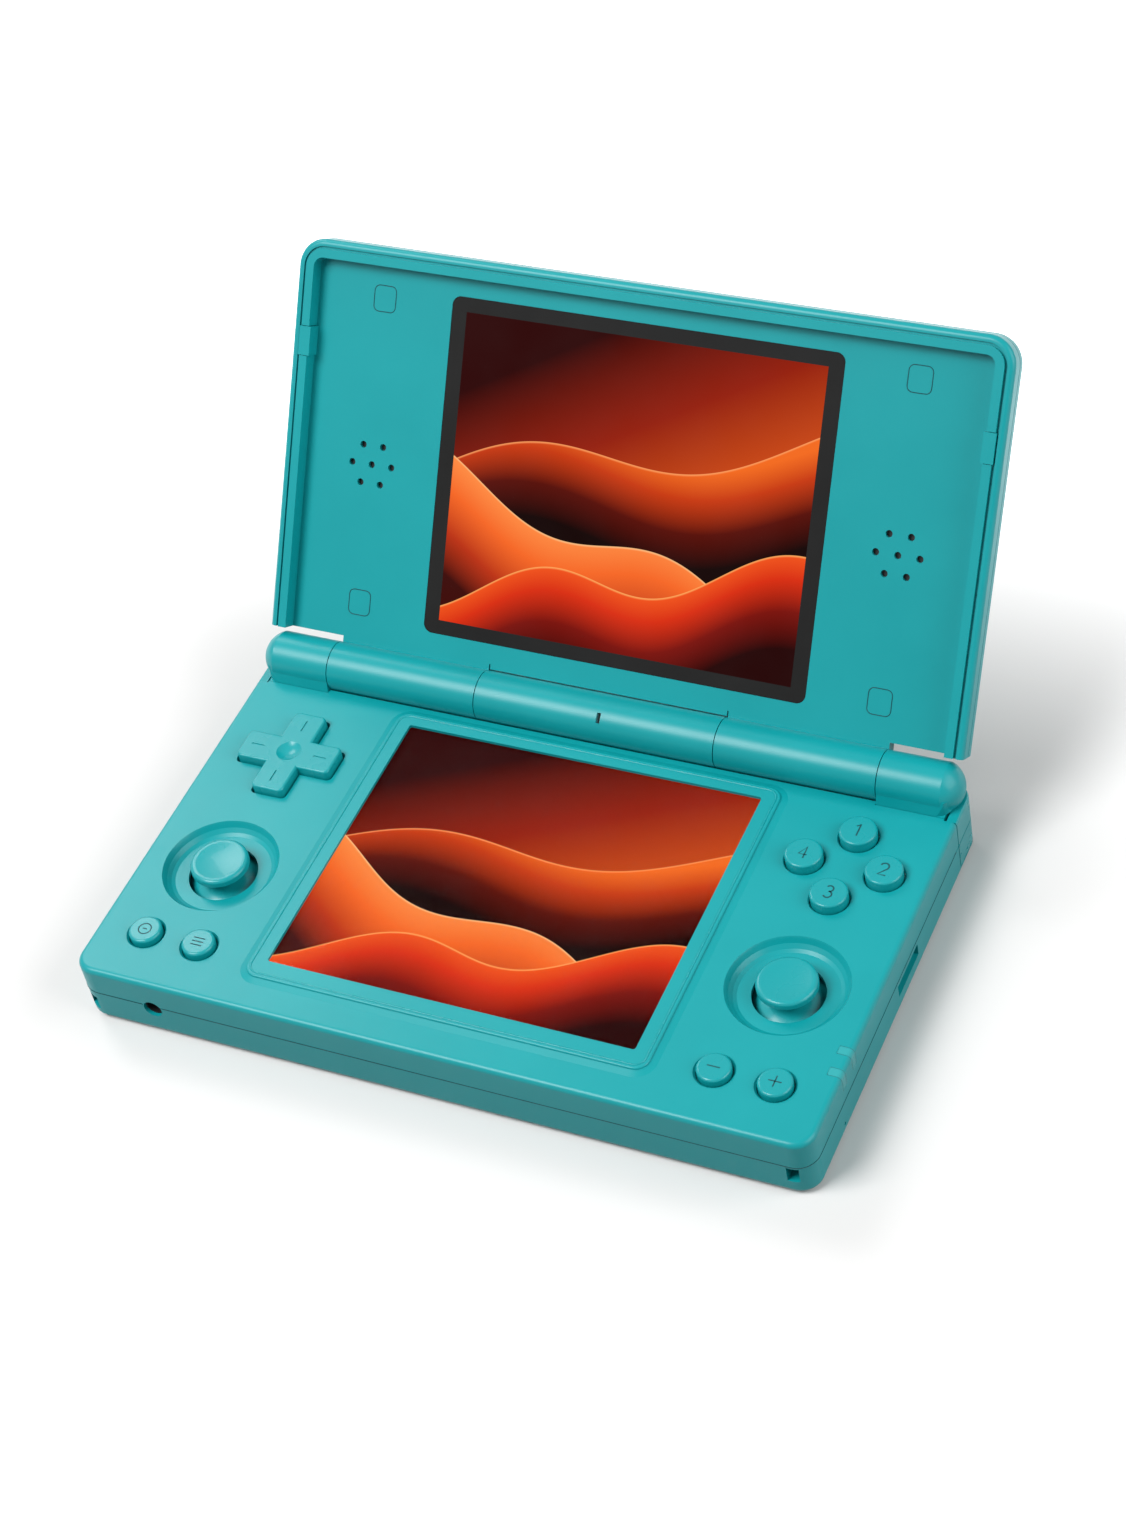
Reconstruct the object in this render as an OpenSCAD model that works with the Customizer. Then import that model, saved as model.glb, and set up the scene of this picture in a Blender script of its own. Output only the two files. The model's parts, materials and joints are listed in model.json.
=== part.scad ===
// Clamshell handheld game console with two screens, drawn with its lid open.
// X runs from left to right, Y from the front edge to the rear, and Z up from the table.
// The origin is the middle of the base's underside.

/* [Case] */
// Width of the base and of the lid
body_w = 160.8; // [156:0.2:176]
// Depth of the base from its front edge to its rear edge
body_d = 96; // [94:1:110]
// Height of the base's top face above the table
base_h = 15.5; // [15:0.25:18]
// Height of the seam between the two base shells
seam_z = 8.5; // [8:0.1:8.6]
// Wall of the base shells
wall = 1.6; // [1.4:0.1:1.8]
// Corner radius of the base, seen from above
corner_r = 4.5; // [4:0.5:6]
// Radius along the base's top edge
top_edge_r = 1.2; // [0.6:0.1:1.4]
// Radius along the base's bottom edge
bottom_edge_r = 1.6; // [1:0.1:2.4]
// Width of the fine groove along each seam
seam_groove = 0.24; // [0.1:0.02:0.4]

/* [Hinge] */
// Height of the hinge axis above the base's top face
hinge_rise = 2.4; // [2.2:0.1:3]
// Distance from the hinge axis forward from the base's rear edge
hinge_back = 4.8; // [4.6:0.1:5.4]
// Radius of the hinge barrels
barrel_r = 5.4; // [5:0.1:5.5]
// Half width of the fixed middle barrel
middle_half = 27.5; // [22:0.5:32]
// Distance from the case's side to the inner face of each end barrel
end_in = 17.4; // [15:0.2:19]
// Distance that each end barrel stops short of the case's side
end_inset = 0.2; // [0.1:0.1:1]
// Distance that the end barrels' feet stand in front of the hinge axis
foot_reach = 6; // [5.8:0.1:6.2]
// Gap between the faces of neighbouring barrels
barrel_gap = 0.2; // [0.15:0.05:0.4]
// Radius of the rounded ends of the end barrels
dome_r = 5.8; // [5.6:0.1:8]
// Radius of the friction hinge's cartridge
cartridge_r = 3.7; // [3.2:0.1:3.9]
// Radius of the friction hinge's shaft
shaft_r = 1.5; // [1.2:0.1:2]
// Outer radius of the sleeves that carry the lid at the middle barrel
sleeve_r = 3; // [2.6:0.1:3.4]
// Wall of those sleeves
sleeve_wall = 0.9; // [0.6:0.1:1]

/* [Lid] */
// Distance that the lid's sides stand in from the base's sides
lid_inset = 1; // [0:0.1:1.5]
// Corner radius of the lid
lid_corner_r = 6; // [5:0.5:8]
// Angle from closed at which the lid is drawn
open_angle = 125; // [90:5:180]
// Thickness of the lid from its rim to its outer face
lid_t = 6.6; // [6.4:0.1:8]
// Gap between the closed lid's rim and the base
lid_gap = 0.2; // [0.15:0.05:0.4]
// Depth of the lid's inner plate below its rim
lid_recess = 3.5; // [3.3:0.1:3.6]
// Width of the lid's rim
rim_w = 3.9; // [3.4:0.1:4.4]
// Thickness of the lid's outer cover
lid_wall = 1.1; // [0.9:0.05:1.15]
// Thickness of the lid's inner plate
plate_t = 1; // [0.8:0.05:1.05]
// Distance from the hinge axis to the lid's lower edge beside the end barrels
lid_edge_v = 6.6; // [6.5:0.1:7.2]
// Distance from the hinge axis to the lid's lower edge above the middle barrel
lid_middle_v = 5.8; // [5.7:0.05:6.2]
// Height of the lid's side seam above its outer face
lid_seam = 2.8; // [2.3:0.1:3]

/* [Screens] */
// Width of the strip for the controls on each side of the pictures
side_w = 40; // [39:0.2:42]
// Part of the body's depth that the lower picture leaves free
lower_free = 28; // [27:0.5:34]
// Distance from the middle of the base forward to the lower picture's middle
lower_shift = 1.8; // [1:0.1:2.4]
// Height of the raised frame round the lower screen
frame_rise = 0.9; // [0.6:0.1:1.2]
// Width of that raised frame round the picture
frame_border = 3.8; // [3.4:0.1:4.2]
// Width of the soft ramp round the raised frame
ramp_w = 1.4; // [0.8:0.1:1.6]
// Part of the body's depth that the upper picture leaves free
upper_free = 30; // [28:0.5:36]
// Distance from the middle of the lid to the upper picture's middle, towards the hinge
upper_shift = 1.9; // [0.9:0.1:2.9]
// Border of the black glass round the upper picture
bezel_border = 3.2; // [2.6:0.1:3.6]
// Thickness of the lower touch glass
lower_glass_t = 0.7; // [0.6:0.1:1]
// Thickness of the lower display behind it
lower_display_t = 2.4; // [2:0.1:2.6]
// Thickness of the upper glass
upper_glass_t = 0.6; // [0.4:0.05:0.65]

/* [Controls] */
// Distance of the direction pad in from the case's left side
pad_in = 18.2; // [17.4:0.1:18.4]
// Distance of the direction pad in front of the base's rear edge
pad_back = 30.6; // [29:0.1:31]
// Distance of the four play buttons in from the case's right side
play_in = 17.6; // [17.2:0.1:18.4]
// Distance of the play buttons in front of the base's rear edge
play_back = 28.5; // [28.4:0.1:29.5]
// Span of the direction pad from tip to tip
pad_span = 22.3; // [20:0.1:22.6]
// Width of each arm of the direction pad
pad_arm = 7.6; // [6.6:0.2:8]
// Height of the direction pad above the top face
pad_rise = 2; // [1.5:0.1:2.2]
// Distance of each play button from the middle of its group
play_pitch = 8.5; // [8.2:0.1:9]
// Radius of a play button
play_r = 3.9; // [3.5:0.1:4]
// Height of a play button above the top face
play_rise = 2.1; // [1.6:0.1:2.3]
// Travel of a play button
play_travel = 1; // [0.6:0.1:1.2]
// Radius of a small button
small_r = 3.5; // [3:0.1:3.7]
// Height of a small button above the top face
small_rise = 1.3; // [0.8:0.1:1.6]
// Distance of the inner small buttons in from the case's sides
small_inner_in = 23.8; // [22.4:0.2:24.4]
// Distance of the outer small buttons in from the case's sides
small_outer_in = 11.3; // [10.9:0.1:11.9]
// Distance of the small buttons in front of the middle of the base
small_y = 35.5; // [35:0.1:36]
// Distance of the sticks in from the case's sides
stick_in = 17.8; // [17.4:0.1:18.4]
// Distance of the left stick in front of the middle of the base
left_stick_y = 14.6; // [13:0.1:15]
// Distance of the right stick in front of the middle of the base
right_stick_y = 12; // [11.8:0.1:14]
// Radius of the dish round each stick
dish_r = 12.4; // [11.6:0.1:12.6]
// Radius of the flat ring at the dish's foot
ring_r = 10.2; // [9.4:0.1:10.6]
// Radius of the hole that the stick stands in
stick_hole_r = 7.4; // [7.2:0.1:7.6]
// Depth of the dish
dish_depth = 2.5; // [2.3:0.1:2.6]
// Radius of the stick's thumb cap
cap_r = 6.2; // [5.6:0.1:6.4]
// Height of the thumb cap's top above the top face
cap_rise = 1.6; // [1.2:0.1:1.8]
// Depth of the stick's pivot below the top face
pivot_depth = 8.5; // [8.3:0.1:8.6]
// Gap round a moving button in its hole
button_gap = 0.25; // [0.2:0.05:0.35]

/* [Shoulder buttons] */
// Length of the shoulder buttons along the rear edge
shoulder_len = 27.6; // [22.4:0.2:28]
// Thickness of the shoulder buttons' rear bars
shoulder_t = 3; // [2.4:0.1:3.2]
// Distance from the base's rear edge to the front of the shoulder buttons' side wings
wing_reach = 11.1; // [11:0.05:11.2]
// Thickness of those side wings
wing_t = 2.2; // [2:0.1:2.4]
// Depth of the side wing's top below the base's top face
wing_drop = 0.4; // [0.3:0.1:1]
// Radius of the shoulder buttons' pivot pins
pin_r = 0.7; // [0.6:0.05:0.8]

/* [Sockets] */
// Radius of the headphone plug
plug_r = 1.75; // [1.25:0.05:1.75]
// Distance of the headphone socket in from the case's left side
jack_in = 17.4; // [16.4:0.2:18.4]
// Height of the headphone socket's middle
jack_z = 7.6; // [7.4:0.1:7.8]
// Width of the memory card opening
card_w = 11.4; // [11.4:0.1:12.4]
// Height of the memory card opening
card_h = 3; // [2:0.1:3.2]
// Distance of the memory card opening behind the middle of the base
card_y = 5.3; // [5:0.1:6.5]
// Width of the charging port's shell
port_w = 8.9; // [8.9:0.05:9.2]
// Height of the charging port's shell
port_h = 3.2; // [3:0.05:3.3]

/* [Inside] */
// Thickness of the main circuit board
board_t = 1; // [0.8:0.1:1.2]
// Space between the circuit board and the base's roof
key_space = 4.1; // [4:0.05:4.2]
// Width of the battery
battery_w = 56; // [40:1:60]
// Depth of the battery
battery_d = 66; // [50:1:68]
// Thickness of the battery
battery_t = 4.5; // [3:0.1:5.5]
// Radius of the case screws' shanks
screw_r = 1; // [0.8:0.05:1.1]
// Clearance of a running fit
run_fit = 0.05; // [0.02:0.01:0.08]
// Clearance round a piece that is seated
seat_fit = 0.05; // [0.03:0.01:0.08]

/* [Hidden] */
$fn = 48;

case_teal = [0.17, 0.66, 0.68];
dark_plastic = [0.1, 0.1, 0.11];
steel = [0.7, 0.71, 0.73];
board_green = [0.08, 0.32, 0.2];
rubber_grey = [0.25, 0.26, 0.27];

half_w = body_w / 2;
half_d = body_d / 2;
screen_w = body_w - 2 * side_w;
lower_h = body_d - lower_free;
upper_h = body_d - upper_free;
end_inner = half_w - end_in;
shoulder_inner = half_w - shoulder_len;
pad_x = half_w - pad_in;
pad_y = half_d - pad_back;
play_x = half_w - play_in;
play_y = half_d - play_back;
small_inner_x = half_w - small_inner_in;
small_outer_x = half_w - small_outer_in;
stick_x = half_w - stick_in;
jack_x = half_w - jack_in;
roof_z = base_h - wall;
foot_gap = 0.4;
floor_z = foot_gap + wall;
inner_w = body_w - 2 * wall;
inner_d = body_d - 2 * wall;
inner_r = corner_r - wall;
hinge_y = half_d - hinge_back;
hinge_z = base_h + hinge_rise;
through = 0.5;

// Trough in the base under the barrels
trough_r = barrel_r + 0.3;
trough_z = hinge_z - trough_r;
trough_floor_t = 1.2;
rear_step_z = trough_z + 0.1;

// Levels in the lid, measured from the hinge axis towards the picture side
rim_n = hinge_rise - lid_gap;
outer_n = rim_n - lid_t;
plate_n = rim_n - lid_recess;
lid_seam_n = outer_n + lid_seam;
cover_n = outer_n + lid_wall;
plate_back_n = plate_n - plate_t;
lid_top_v = hinge_y + half_d;
lid_half = half_w - lid_inset;
rim_half = lid_half - rim_w;
upper_v = (lid_edge_v + lid_top_v) / 2 - upper_shift;
bar_room_r = barrel_r + 0.25;
skirt_t = 1;

// Lower screen
frame_top_z = base_h + frame_rise;
lip_t = 0.7;
glass_top_z = frame_top_z - lip_t;
glass_margin = 1.8;
frame_r = 3;
frame_shift = 0.55;
ramp_rise = 0.45;
glass_w = screen_w + 2 * glass_margin;
glass_d = lower_h + 2 * glass_margin;
frame_w = screen_w + 2 * frame_border;
frame_d = lower_h + 2 * frame_border;
display_margin = 1.1;

// Upper screen
bezel_w = screen_w + 2 * bezel_border + 0.4;
bezel_d = upper_h + 2 * bezel_border - 0.3;
bezel_r = 2;
upper_display_w = screen_w + 1.6;
upper_display_d = upper_h + 1.8;
upper_display_t = plate_n - upper_glass_t - seat_fit - cover_n - seat_fit;

// Circuit board
board_top = roof_z - key_space;
board_z = board_top - board_t;
screw_x = frame_w / 2 + 2.4;
connector_y = half_d - 11;
switch_t = 2;
screw_front_y = -half_d + 5.6;
screw_rear_y = half_d - 15;
boss_r = 2.2;
screw_head_r = 1.9;
screw_head_t = 0.8;

// Buttons
flange_t = 0.9;
flange_lip = 0.8;
flange_drop = 0.3;
flange_top = roof_z - flange_drop;
flange_z = flange_top - flange_t;
membrane_t = 0.8;
dome_top = flange_z - seat_fit;
pad_centre_z = base_h - 3.3;
pad_flange_top = pad_centre_z + 0.3;
pad_flange_z = pad_flange_top - 0.8;
pad_gap = button_gap + 0.15;
pad_corner_r = 1.2;
pad_edge_r = 0.5;
pad_press_r = pad_span / 3;
sheet_r = 4;
play_sheet_w = 2 * (play_pitch + play_r) + 0.2;
pad_dome_r = 1.9;
play_dome_r = 2.4;
pad_mark_len = 3;
pad_mark_in = 2.2;
pad_hollow_r = 5.1;
pad_hollow_t = 0.8;
pad_sheet_w = pad_span - 1.3;

// Sticks
pivot_z = base_h - pivot_depth;
dish_floor_z = base_h - dish_depth;
dish_floor_t = 1;
cap_top = base_h + cap_rise;
cap_t = 2.1;
neck_r = 3.2;
skirt_r = stick_hole_r + 0.5;
skirt_rim_z = pivot_z + 3.4;
skirt_wall = 0.8;
stem_r = 1.5;
module_half = 6.4;
module_wall = 1;
module_z = pivot_z - 3.2;
module_floor_z = module_z + 1;
ear_top = pivot_z + 0.9;
ear_half = 2.2;
trunnion_r = 0.6;
yoke_half = module_half - module_wall - 0.3;
yoke_wall = 1.2;
yoke_half_t = 0.75;
arm_half = yoke_half - yoke_wall - 0.3;

// Shoulder buttons
shoulder_top = trough_z - 0.4;
shoulder_split = seam_z + 0.2;
shoulder_gap = 0.3;
shoulder_low_z = floor_z + shoulder_gap;
wing_front_y = half_d - wing_reach;
wing_x = half_w - wing_t;
pin_x = half_w - 1.6;
pin_y = wing_front_y + 1.5;
pin_boss_r = 1.6;
shoulder_notch = shoulder_inner - 0.8;
switch_board_y = half_d - 7.4;
switch_board_len = 12;
foot_outer = wing_x - 0.6;
foot_top_outer = half_w - 1.8;
foot_corner_r = 3.4;
wing_top = base_h - wing_drop;
shoulder_back_y = half_d - shoulder_t - 2.6;

// Side buttons on the left
side_button_z = roof_z - 2.5;
side_button_h = 2.6;
side_proud = 0.5;
power_y = 22;
power_len = 7;
volume_y = 3;
volume_len = 16;
side_flange = 0.8;

// Strap slots
strap_w = 2.5;
strap_h = 3.8;
strap_depth = 3;
strap_left_x = -half_w + 2.4;
strap_right_x = half_w - 4.2;
strap_left_z = 2.9;
strap_right_z = 4.2;

// Seven holes of a speaker grille
speaker_x = lid_half - 19.8;
speaker_v = upper_v - 2.3;
speaker_w = 12.6;
speaker_h = 16;
grille_r = 4.7;
grille_hole_r = 0.75;

// Caps over the lid's screws, as [x, v]
cap_w = 5;
cap_h = 5.4;
cap_seat_t = 0.5;
lid_screw_x = lid_half - 19.7;
lid_screw_v = [lid_top_v - 11, lid_edge_v + 7.9];
lid_head_t = 0.55;
lid_screw_r = 0.7;

// Rim bumpers
bumper_v = lid_top_v - 21.9;
bumper_len = 6.2;
bumper_w = 2.6;
bumper_out = 0.5;

// Sockets and feet
card_z = 5.8;
card_socket_t = 1.9;
card_socket_len = 14;
card_socket_x = half_w - wall - card_socket_len - 0.2;
card_stop = 1;
card_post_len = 10;
card_post_in = 2.8;
card_socket_z = card_z - card_socket_t / 2;
port_z = board_z - port_h / 2;
jack_half_w = 3.1;
jack_len = 15;
jack_depth = 14;
jack_lip_t = 0.8;
board_edge = 2.6;
foot_r = 3;
foot_t = 0.6;
cable_r = 1.3;
shaft_in = 12.4;
sleeve_reach = 7.4;
cable_x = middle_half + sleeve_reach + 1.2;
cable_way_w = (end_inner - shaft_in - middle_half - sleeve_reach) / 2 + 0.95;

// Microphone slot in the middle barrel
slot_angle = 41;
slot_x = 1.4;
slot_len = 2.2;
mic_w = 3;
mic_z = barrel_r - 2.7;

// A flat rounded rectangle
module rounded_plate(w, d, r) {
    square([w - 2 * r, d], center = true);
    square([w, d - 2 * r], center = true);
    for (sx = [-1, 1], sy = [-1, 1])
        translate([sx * (w / 2 - r), sy * (d / 2 - r)]) circle(r);
}

// A rounded rectangular prism from z0 to z1
module rounded_prism(w, d, r, z0, z1) {
    translate([0, 0, z0]) linear_extrude(z1 - z0) rounded_plate(w, d, r);
}

// Carries an edge section round a rounded rectangle and fills its middle from z0 to z1.
// The section's X runs outwards from the corner's centre, and its Y is the height.
module edge_sweep(w, d, r, z0, z1) {
    cx = w / 2 - r;
    cy = d / 2 - r;
    translate([-cx, -cy, z0]) cube([2 * cx, 2 * cy, z1 - z0]);
    for (i = [0:3]) {
        along_y = i % 2 == 0;
        reach = along_y ? cx : cy;
        half = along_y ? cy : cx;
        rotate([0, 0, 90 * i]) {
            translate([reach, 0, 0]) rotate([90, 0, 0])
                linear_extrude(2 * half, center = true) children();
            translate([reach, half, 0]) rotate_extrude(angle = 90) children();
        }
    }
}

// Section of width r between two heights, rounded at its top outer corner
module top_rounded_section(r, z0, z1, edge) {
    translate([0, z0]) square([r - edge, z1 - z0]);
    translate([0, z0]) square([r, z1 - z0 - edge]);
    translate([r - edge, z1 - edge]) circle(edge);
}

// A bar along X with its middle at the origin
module bar_x(r, x0, x1) {
    translate([x0, 0, 0]) rotate([0, 90, 0]) cylinder(r = r, h = x1 - x0);
}

// A bar along X with a rounded end at x1
module domed_bar(r, x0, x1) {
    rotate([0, 90, 0]) rotate_extrude() union() {
        translate([0, x0]) square([r, x1 - dome_r - x0]);
        intersection() {
            translate([0, x1 - dome_r]) circle(r = dome_r, $fn = 96);
            translate([0, x0]) square([r, x1 - x0]);
        }
    }
}

// Puts a lid piece, drawn as [x, distance from the axis, height], at the lid's angle
module on_lid() {
    translate([0, hinge_y, hinge_z]) rotate([180 - open_angle, 0, 0]) children();
}

// Draws a piece of the right side, or its mirror image on the left
module on_side(side) {
    mirror([side < 0 ? 1 : 0, 0, 0]) children();
}

// Outside of the base's upper half
module upper_outside() {
    edge_sweep(body_w, body_d, corner_r, seam_z, base_h) difference() {
        top_rounded_section(corner_r, seam_z, base_h, top_edge_r);
        translate([corner_r - 0.3, seam_z - through]) square([1, through + seam_groove / 2]);
    }
}

// Outside of the base's lower half
module lower_outside() {
    edge_sweep(body_w, body_d, corner_r, foot_gap, seam_z) difference() {
        mirror([0, 1]) translate([0, -seam_z])
            top_rounded_section(corner_r, 0, seam_z - foot_gap, bottom_edge_r);
        translate([corner_r - 0.3, seam_z - seam_groove / 2]) square([1, through]);
    }
}

// Plan shape of the direction pad grown by a margin
module pad_plan(margin) {
    rounded_plate(pad_span + 2 * margin, pad_arm + 2 * margin, pad_corner_r);
    rounded_plate(pad_arm + 2 * margin, pad_span + 2 * margin, pad_corner_r);
}

// Round hole through the roof with a sunk rim
module button_hole(r, sink) {
    translate([0, 0, roof_z - through]) cylinder(r = r, h = wall + 2 * through);
    translate([0, 0, base_h - sink]) cylinder(r1 = r, r2 = r + sink + 0.02, h = sink + 0.02);
}

// Space that the dish of a stick takes out of the roof
module dish_cut() {
    slope = dish_r - ring_r;
    translate([0, 0, dish_floor_z - 3]) cylinder(r = stick_hole_r, h = 4);
    translate([0, 0, dish_floor_z]) rotate_extrude()
        polygon([[0, 0], [ring_r, 0], [ring_r + 0.35 * slope, 0.16 * dish_depth],
                 [ring_r + 0.7 * slope, 0.48 * dish_depth], [dish_r - 0.1, dish_depth - 0.3],
                 [dish_r + 0.1, dish_depth + 0.01], [0, dish_depth + 0.01]]);
}

module play_places() {
    for (a = [0:90:270])
        translate([play_x, play_y, 0]) rotate([0, 0, a]) translate([play_pitch, 0, 0]) children();
}

module small_places() {
    for (x = [-small_outer_x, -small_inner_x, small_inner_x, small_outer_x])
        translate([x, -small_y, 0]) children();
}

module stick_places() {
    translate([-stick_x, -left_stick_y, 0]) children();
    translate([stick_x, -right_stick_y, 0]) children();
}

module screw_places() {
    for (sx = [-1, 1], y = [screw_front_y, screw_rear_y])
        translate([sx * screw_x, y, 0]) children();
}

// Opening at a rear corner for the two shoulder buttons
module shoulder_opening() {
    translate([shoulder_notch, shoulder_back_y, floor_z])
        cube([half_w, 20, rear_step_z + 10]);
    translate([foot_outer + 0.1, wing_front_y - shoulder_gap, floor_z])
        cube([10, 20, base_h + 10]);
    translate([pin_x, pin_y, floor_z]) cylinder(r = pin_boss_r + 0.3, h = roof_z - floor_z - 2);
}

// Outline of a side button in the left wall, grown by a margin and standing along X
module side_slot(y, len, margin, x0, x1) {
    h = side_button_h + 2 * margin;
    translate([x0, y, side_button_z]) rotate([90, 0, 90])
        linear_extrude(x1 - x0) rounded_plate(len + 2 * margin, h, h / 2 - 0.01);
}

module light_window_boxes(margin) {
    for (y = [-24.1, -29.4])
        translate([half_w - 2.9 - margin, y - 0.95 - margin, roof_z - 2.4 - margin])
            cube([4, 1.9 + 2 * margin, 8]);
}

// Opening for the headphone plug, with a wider seat behind it for the socket's nose
module jack_cut() {
    translate([-jack_x, -half_d - 1, jack_z]) rotate([-90, 0, 0])
        cylinder(r = plug_r + 0.35, h = wall + 2);
    translate([-jack_x, -half_d + jack_lip_t, jack_z]) rotate([-90, 0, 0])
        cylinder(r = plug_r + 1.15, h = wall + 1);
}

module base_top_shell() {
    color(case_teal) difference() {
        union() {
            difference() {
                upper_outside();
                rounded_prism(inner_w, inner_d, inner_r, seam_z - through, roof_z);
            }
            // Raised frame of the lower screen on its soft ramp
            translate([0, -lower_shift - frame_shift, 0]) {
                edge_sweep(frame_w, frame_d, frame_r, roof_z, frame_top_z)
                    top_rounded_section(frame_r, roof_z, frame_top_z, 0.4);
                edge_sweep(frame_w + 2 * ramp_w, frame_d + 2 * ramp_w, frame_r + ramp_w,
                           roof_z, base_h + ramp_rise)
                    polygon([[0, roof_z], [frame_r + ramp_w, roof_z], [frame_r + ramp_w, base_h],
                             [frame_r, base_h + ramp_rise], [0, base_h + ramp_rise]]);
            }
            stick_places() translate([0, 0, dish_floor_z - dish_floor_t])
                cylinder(r = dish_r + 0.8, h = roof_z - dish_floor_z + dish_floor_t + 0.2);
            // Trough walls under the barrels
            translate([-foot_outer + 0.1, hinge_y - trough_r - 1.4, trough_z - trough_floor_t])
                cube([2 * foot_outer - 0.2, hinge_back + trough_r + 1.4 - wall / 2,
                      roof_z - trough_z + trough_floor_t + 0.3]);
            screw_places() translate([0, 0, board_top + seat_fit])
                cylinder(r = boss_r, h = roof_z - board_top);
        }
        // Window, glass seat and room for the display
        translate([0, -lower_shift, 0]) {
            rounded_prism(screen_w, lower_h, 0.6, glass_top_z - through, frame_top_z + 1);
            rounded_prism(glass_w + 2 * seat_fit, glass_d + 2 * seat_fit, 1,
                          roof_z - 2, glass_top_z);
        }
        stick_places() dish_cut();
        play_places() button_hole(play_r + button_gap, 0.25);
        small_places() button_hole(small_r + button_gap, 0.45);
        translate([-pad_x, pad_y, roof_z - through])
            linear_extrude(wall + 2 * through) pad_plan(pad_gap);
        // Room for the barrels, and the open rear above the step
        translate([0, hinge_y, hinge_z]) bar_x(trough_r, -end_inner, end_inner);
        translate([-end_inner, hinge_y, rear_step_z]) cube([2 * end_inner, 20, 20]);
        for (s = [-1, 1]) on_side(s) {
            translate([end_inner - 0.01, hinge_y - foot_reach - 0.1, rear_step_z])
                cube([half_w, 40, 20]);
            shoulder_opening();
        }
        // Pilot holes, cable slot and sockets
        screw_places() translate([0, 0, board_top - through])
            cylinder(r = screw_r + run_fit, h = roof_z - board_top - 0.3);
        translate([-5, hinge_y - 0.4, trough_z - 3]) cube([10, 1.4, 6]);
        jack_cut();
        translate([-port_w / 2 - 0.25, half_d - 8, seam_z - 1]) cube([port_w + 0.5, 10, 1.6]);
        side_slot(power_y, power_len, button_gap, -half_w - 1, -half_w + wall + 1);
        side_slot(volume_y, volume_len, button_gap, -half_w - 1, -half_w + wall + 1);
        light_window_boxes(seat_fit);
    }
}

module base_bottom_shell() {
    color(case_teal) difference() {
        union() {
            difference() {
                lower_outside();
                rounded_prism(inner_w, inner_d, inner_r, floor_z, seam_z + through);
            }
            screw_places() cylinder(r = boss_r, h = board_z - seat_fit);
            // Posts under the stick modules and the card socket
            stick_places() for (sx = [-1, 1], sy = [-1, 1])
                translate([sx * 4.6, sy * 4.6, floor_z - 0.2])
                    cylinder(r = 1.5, h = module_z - floor_z + 0.2 - seat_fit);
            for (y = [card_y - 4, card_y + 4])
                translate([card_socket_x + card_post_in, y - 0.6, floor_z - 0.2])
                    cube([card_post_len, 1.2, card_socket_z - floor_z + 0.2 - seat_fit]);
            // Solid corners behind the strap slots
            for (x = [strap_left_x, strap_right_x]) intersection() {
                translate([x - 2.4, -half_d, 0]) cube([4.8, strap_depth + 2.4, seam_z]);
                rounded_prism(body_w - 1, body_d - 1, corner_r - 0.5, floor_z - 0.1, seam_z - 0.2);
            }
            for (s = [-1, 1]) on_side(s) intersection() {
                translate([pin_x, pin_y, 0]) cylinder(r = pin_boss_r, h = shoulder_low_z - 0.15);
                rounded_prism(body_w - 1, body_d - 1, corner_r - 0.5, 0.6, seam_z);
            }
        }
        for (s = [-1, 1]) on_side(s) {
            difference() {
                shoulder_opening();
                translate([pin_x, pin_y, 0]) cylinder(r = pin_boss_r, h = shoulder_low_z - 0.15);
            }
            translate([pin_x, pin_y, 0.8]) cylinder(r = pin_r + seat_fit, h = seam_z);
        }
        screw_places() {
            translate([0, 0, -through]) cylinder(r = screw_r + 0.15, h = board_z + 2 * through);
            translate([0, 0, -through]) cylinder(r = screw_head_r + 0.2, h = through + foot_gap + screw_head_t + 0.3);
        }
        foot_places() translate([0, 0, -through]) cylinder(r = foot_r + seat_fit, h = through + foot_gap + foot_t);
        jack_cut();
        translate([-port_w / 2 - 0.25, half_d - 8, port_z - port_h / 2 - 0.25])
            cube([port_w + 0.5, 10, 10]);
        translate([half_w - wall - 1, card_y - card_w / 2, card_z - card_h / 2])
            cube([wall + 2, card_w, card_h]);
        for (p = [[strap_left_x, strap_left_z], [strap_right_x, strap_right_z]])
            translate([p[0] - strap_w / 2, -half_d - 1, p[1]])
                cube([strap_w, strap_depth + 1, strap_h]);
        // Reset pinhole in the right side
        translate([half_w - wall - 1, -31.6, 3]) bar_x(0.4, 0, wall + 2);
    }
}

module foot_places() {
    for (sx = [-1, 1], sy = [-1, 1])
        translate([sx * (half_w - 12), sy * (half_d - 11), 0]) children();
}

module lower_screen_glass() {
    color([0.16, 0.09, 0.07]) translate([0, -lower_shift, 0])
        rounded_prism(glass_w, glass_d, 0.95, glass_top_z - lower_glass_t, glass_top_z);
}

module lower_display() {
    top = glass_top_z - lower_glass_t - seat_fit;
    color([0.9, 0.42, 0.12]) translate([0, -lower_shift, 0])
        rounded_prism(screen_w + 2 * display_margin, lower_h + 2 * display_margin, 0.5,
                      top - lower_display_t, top);
}

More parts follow.
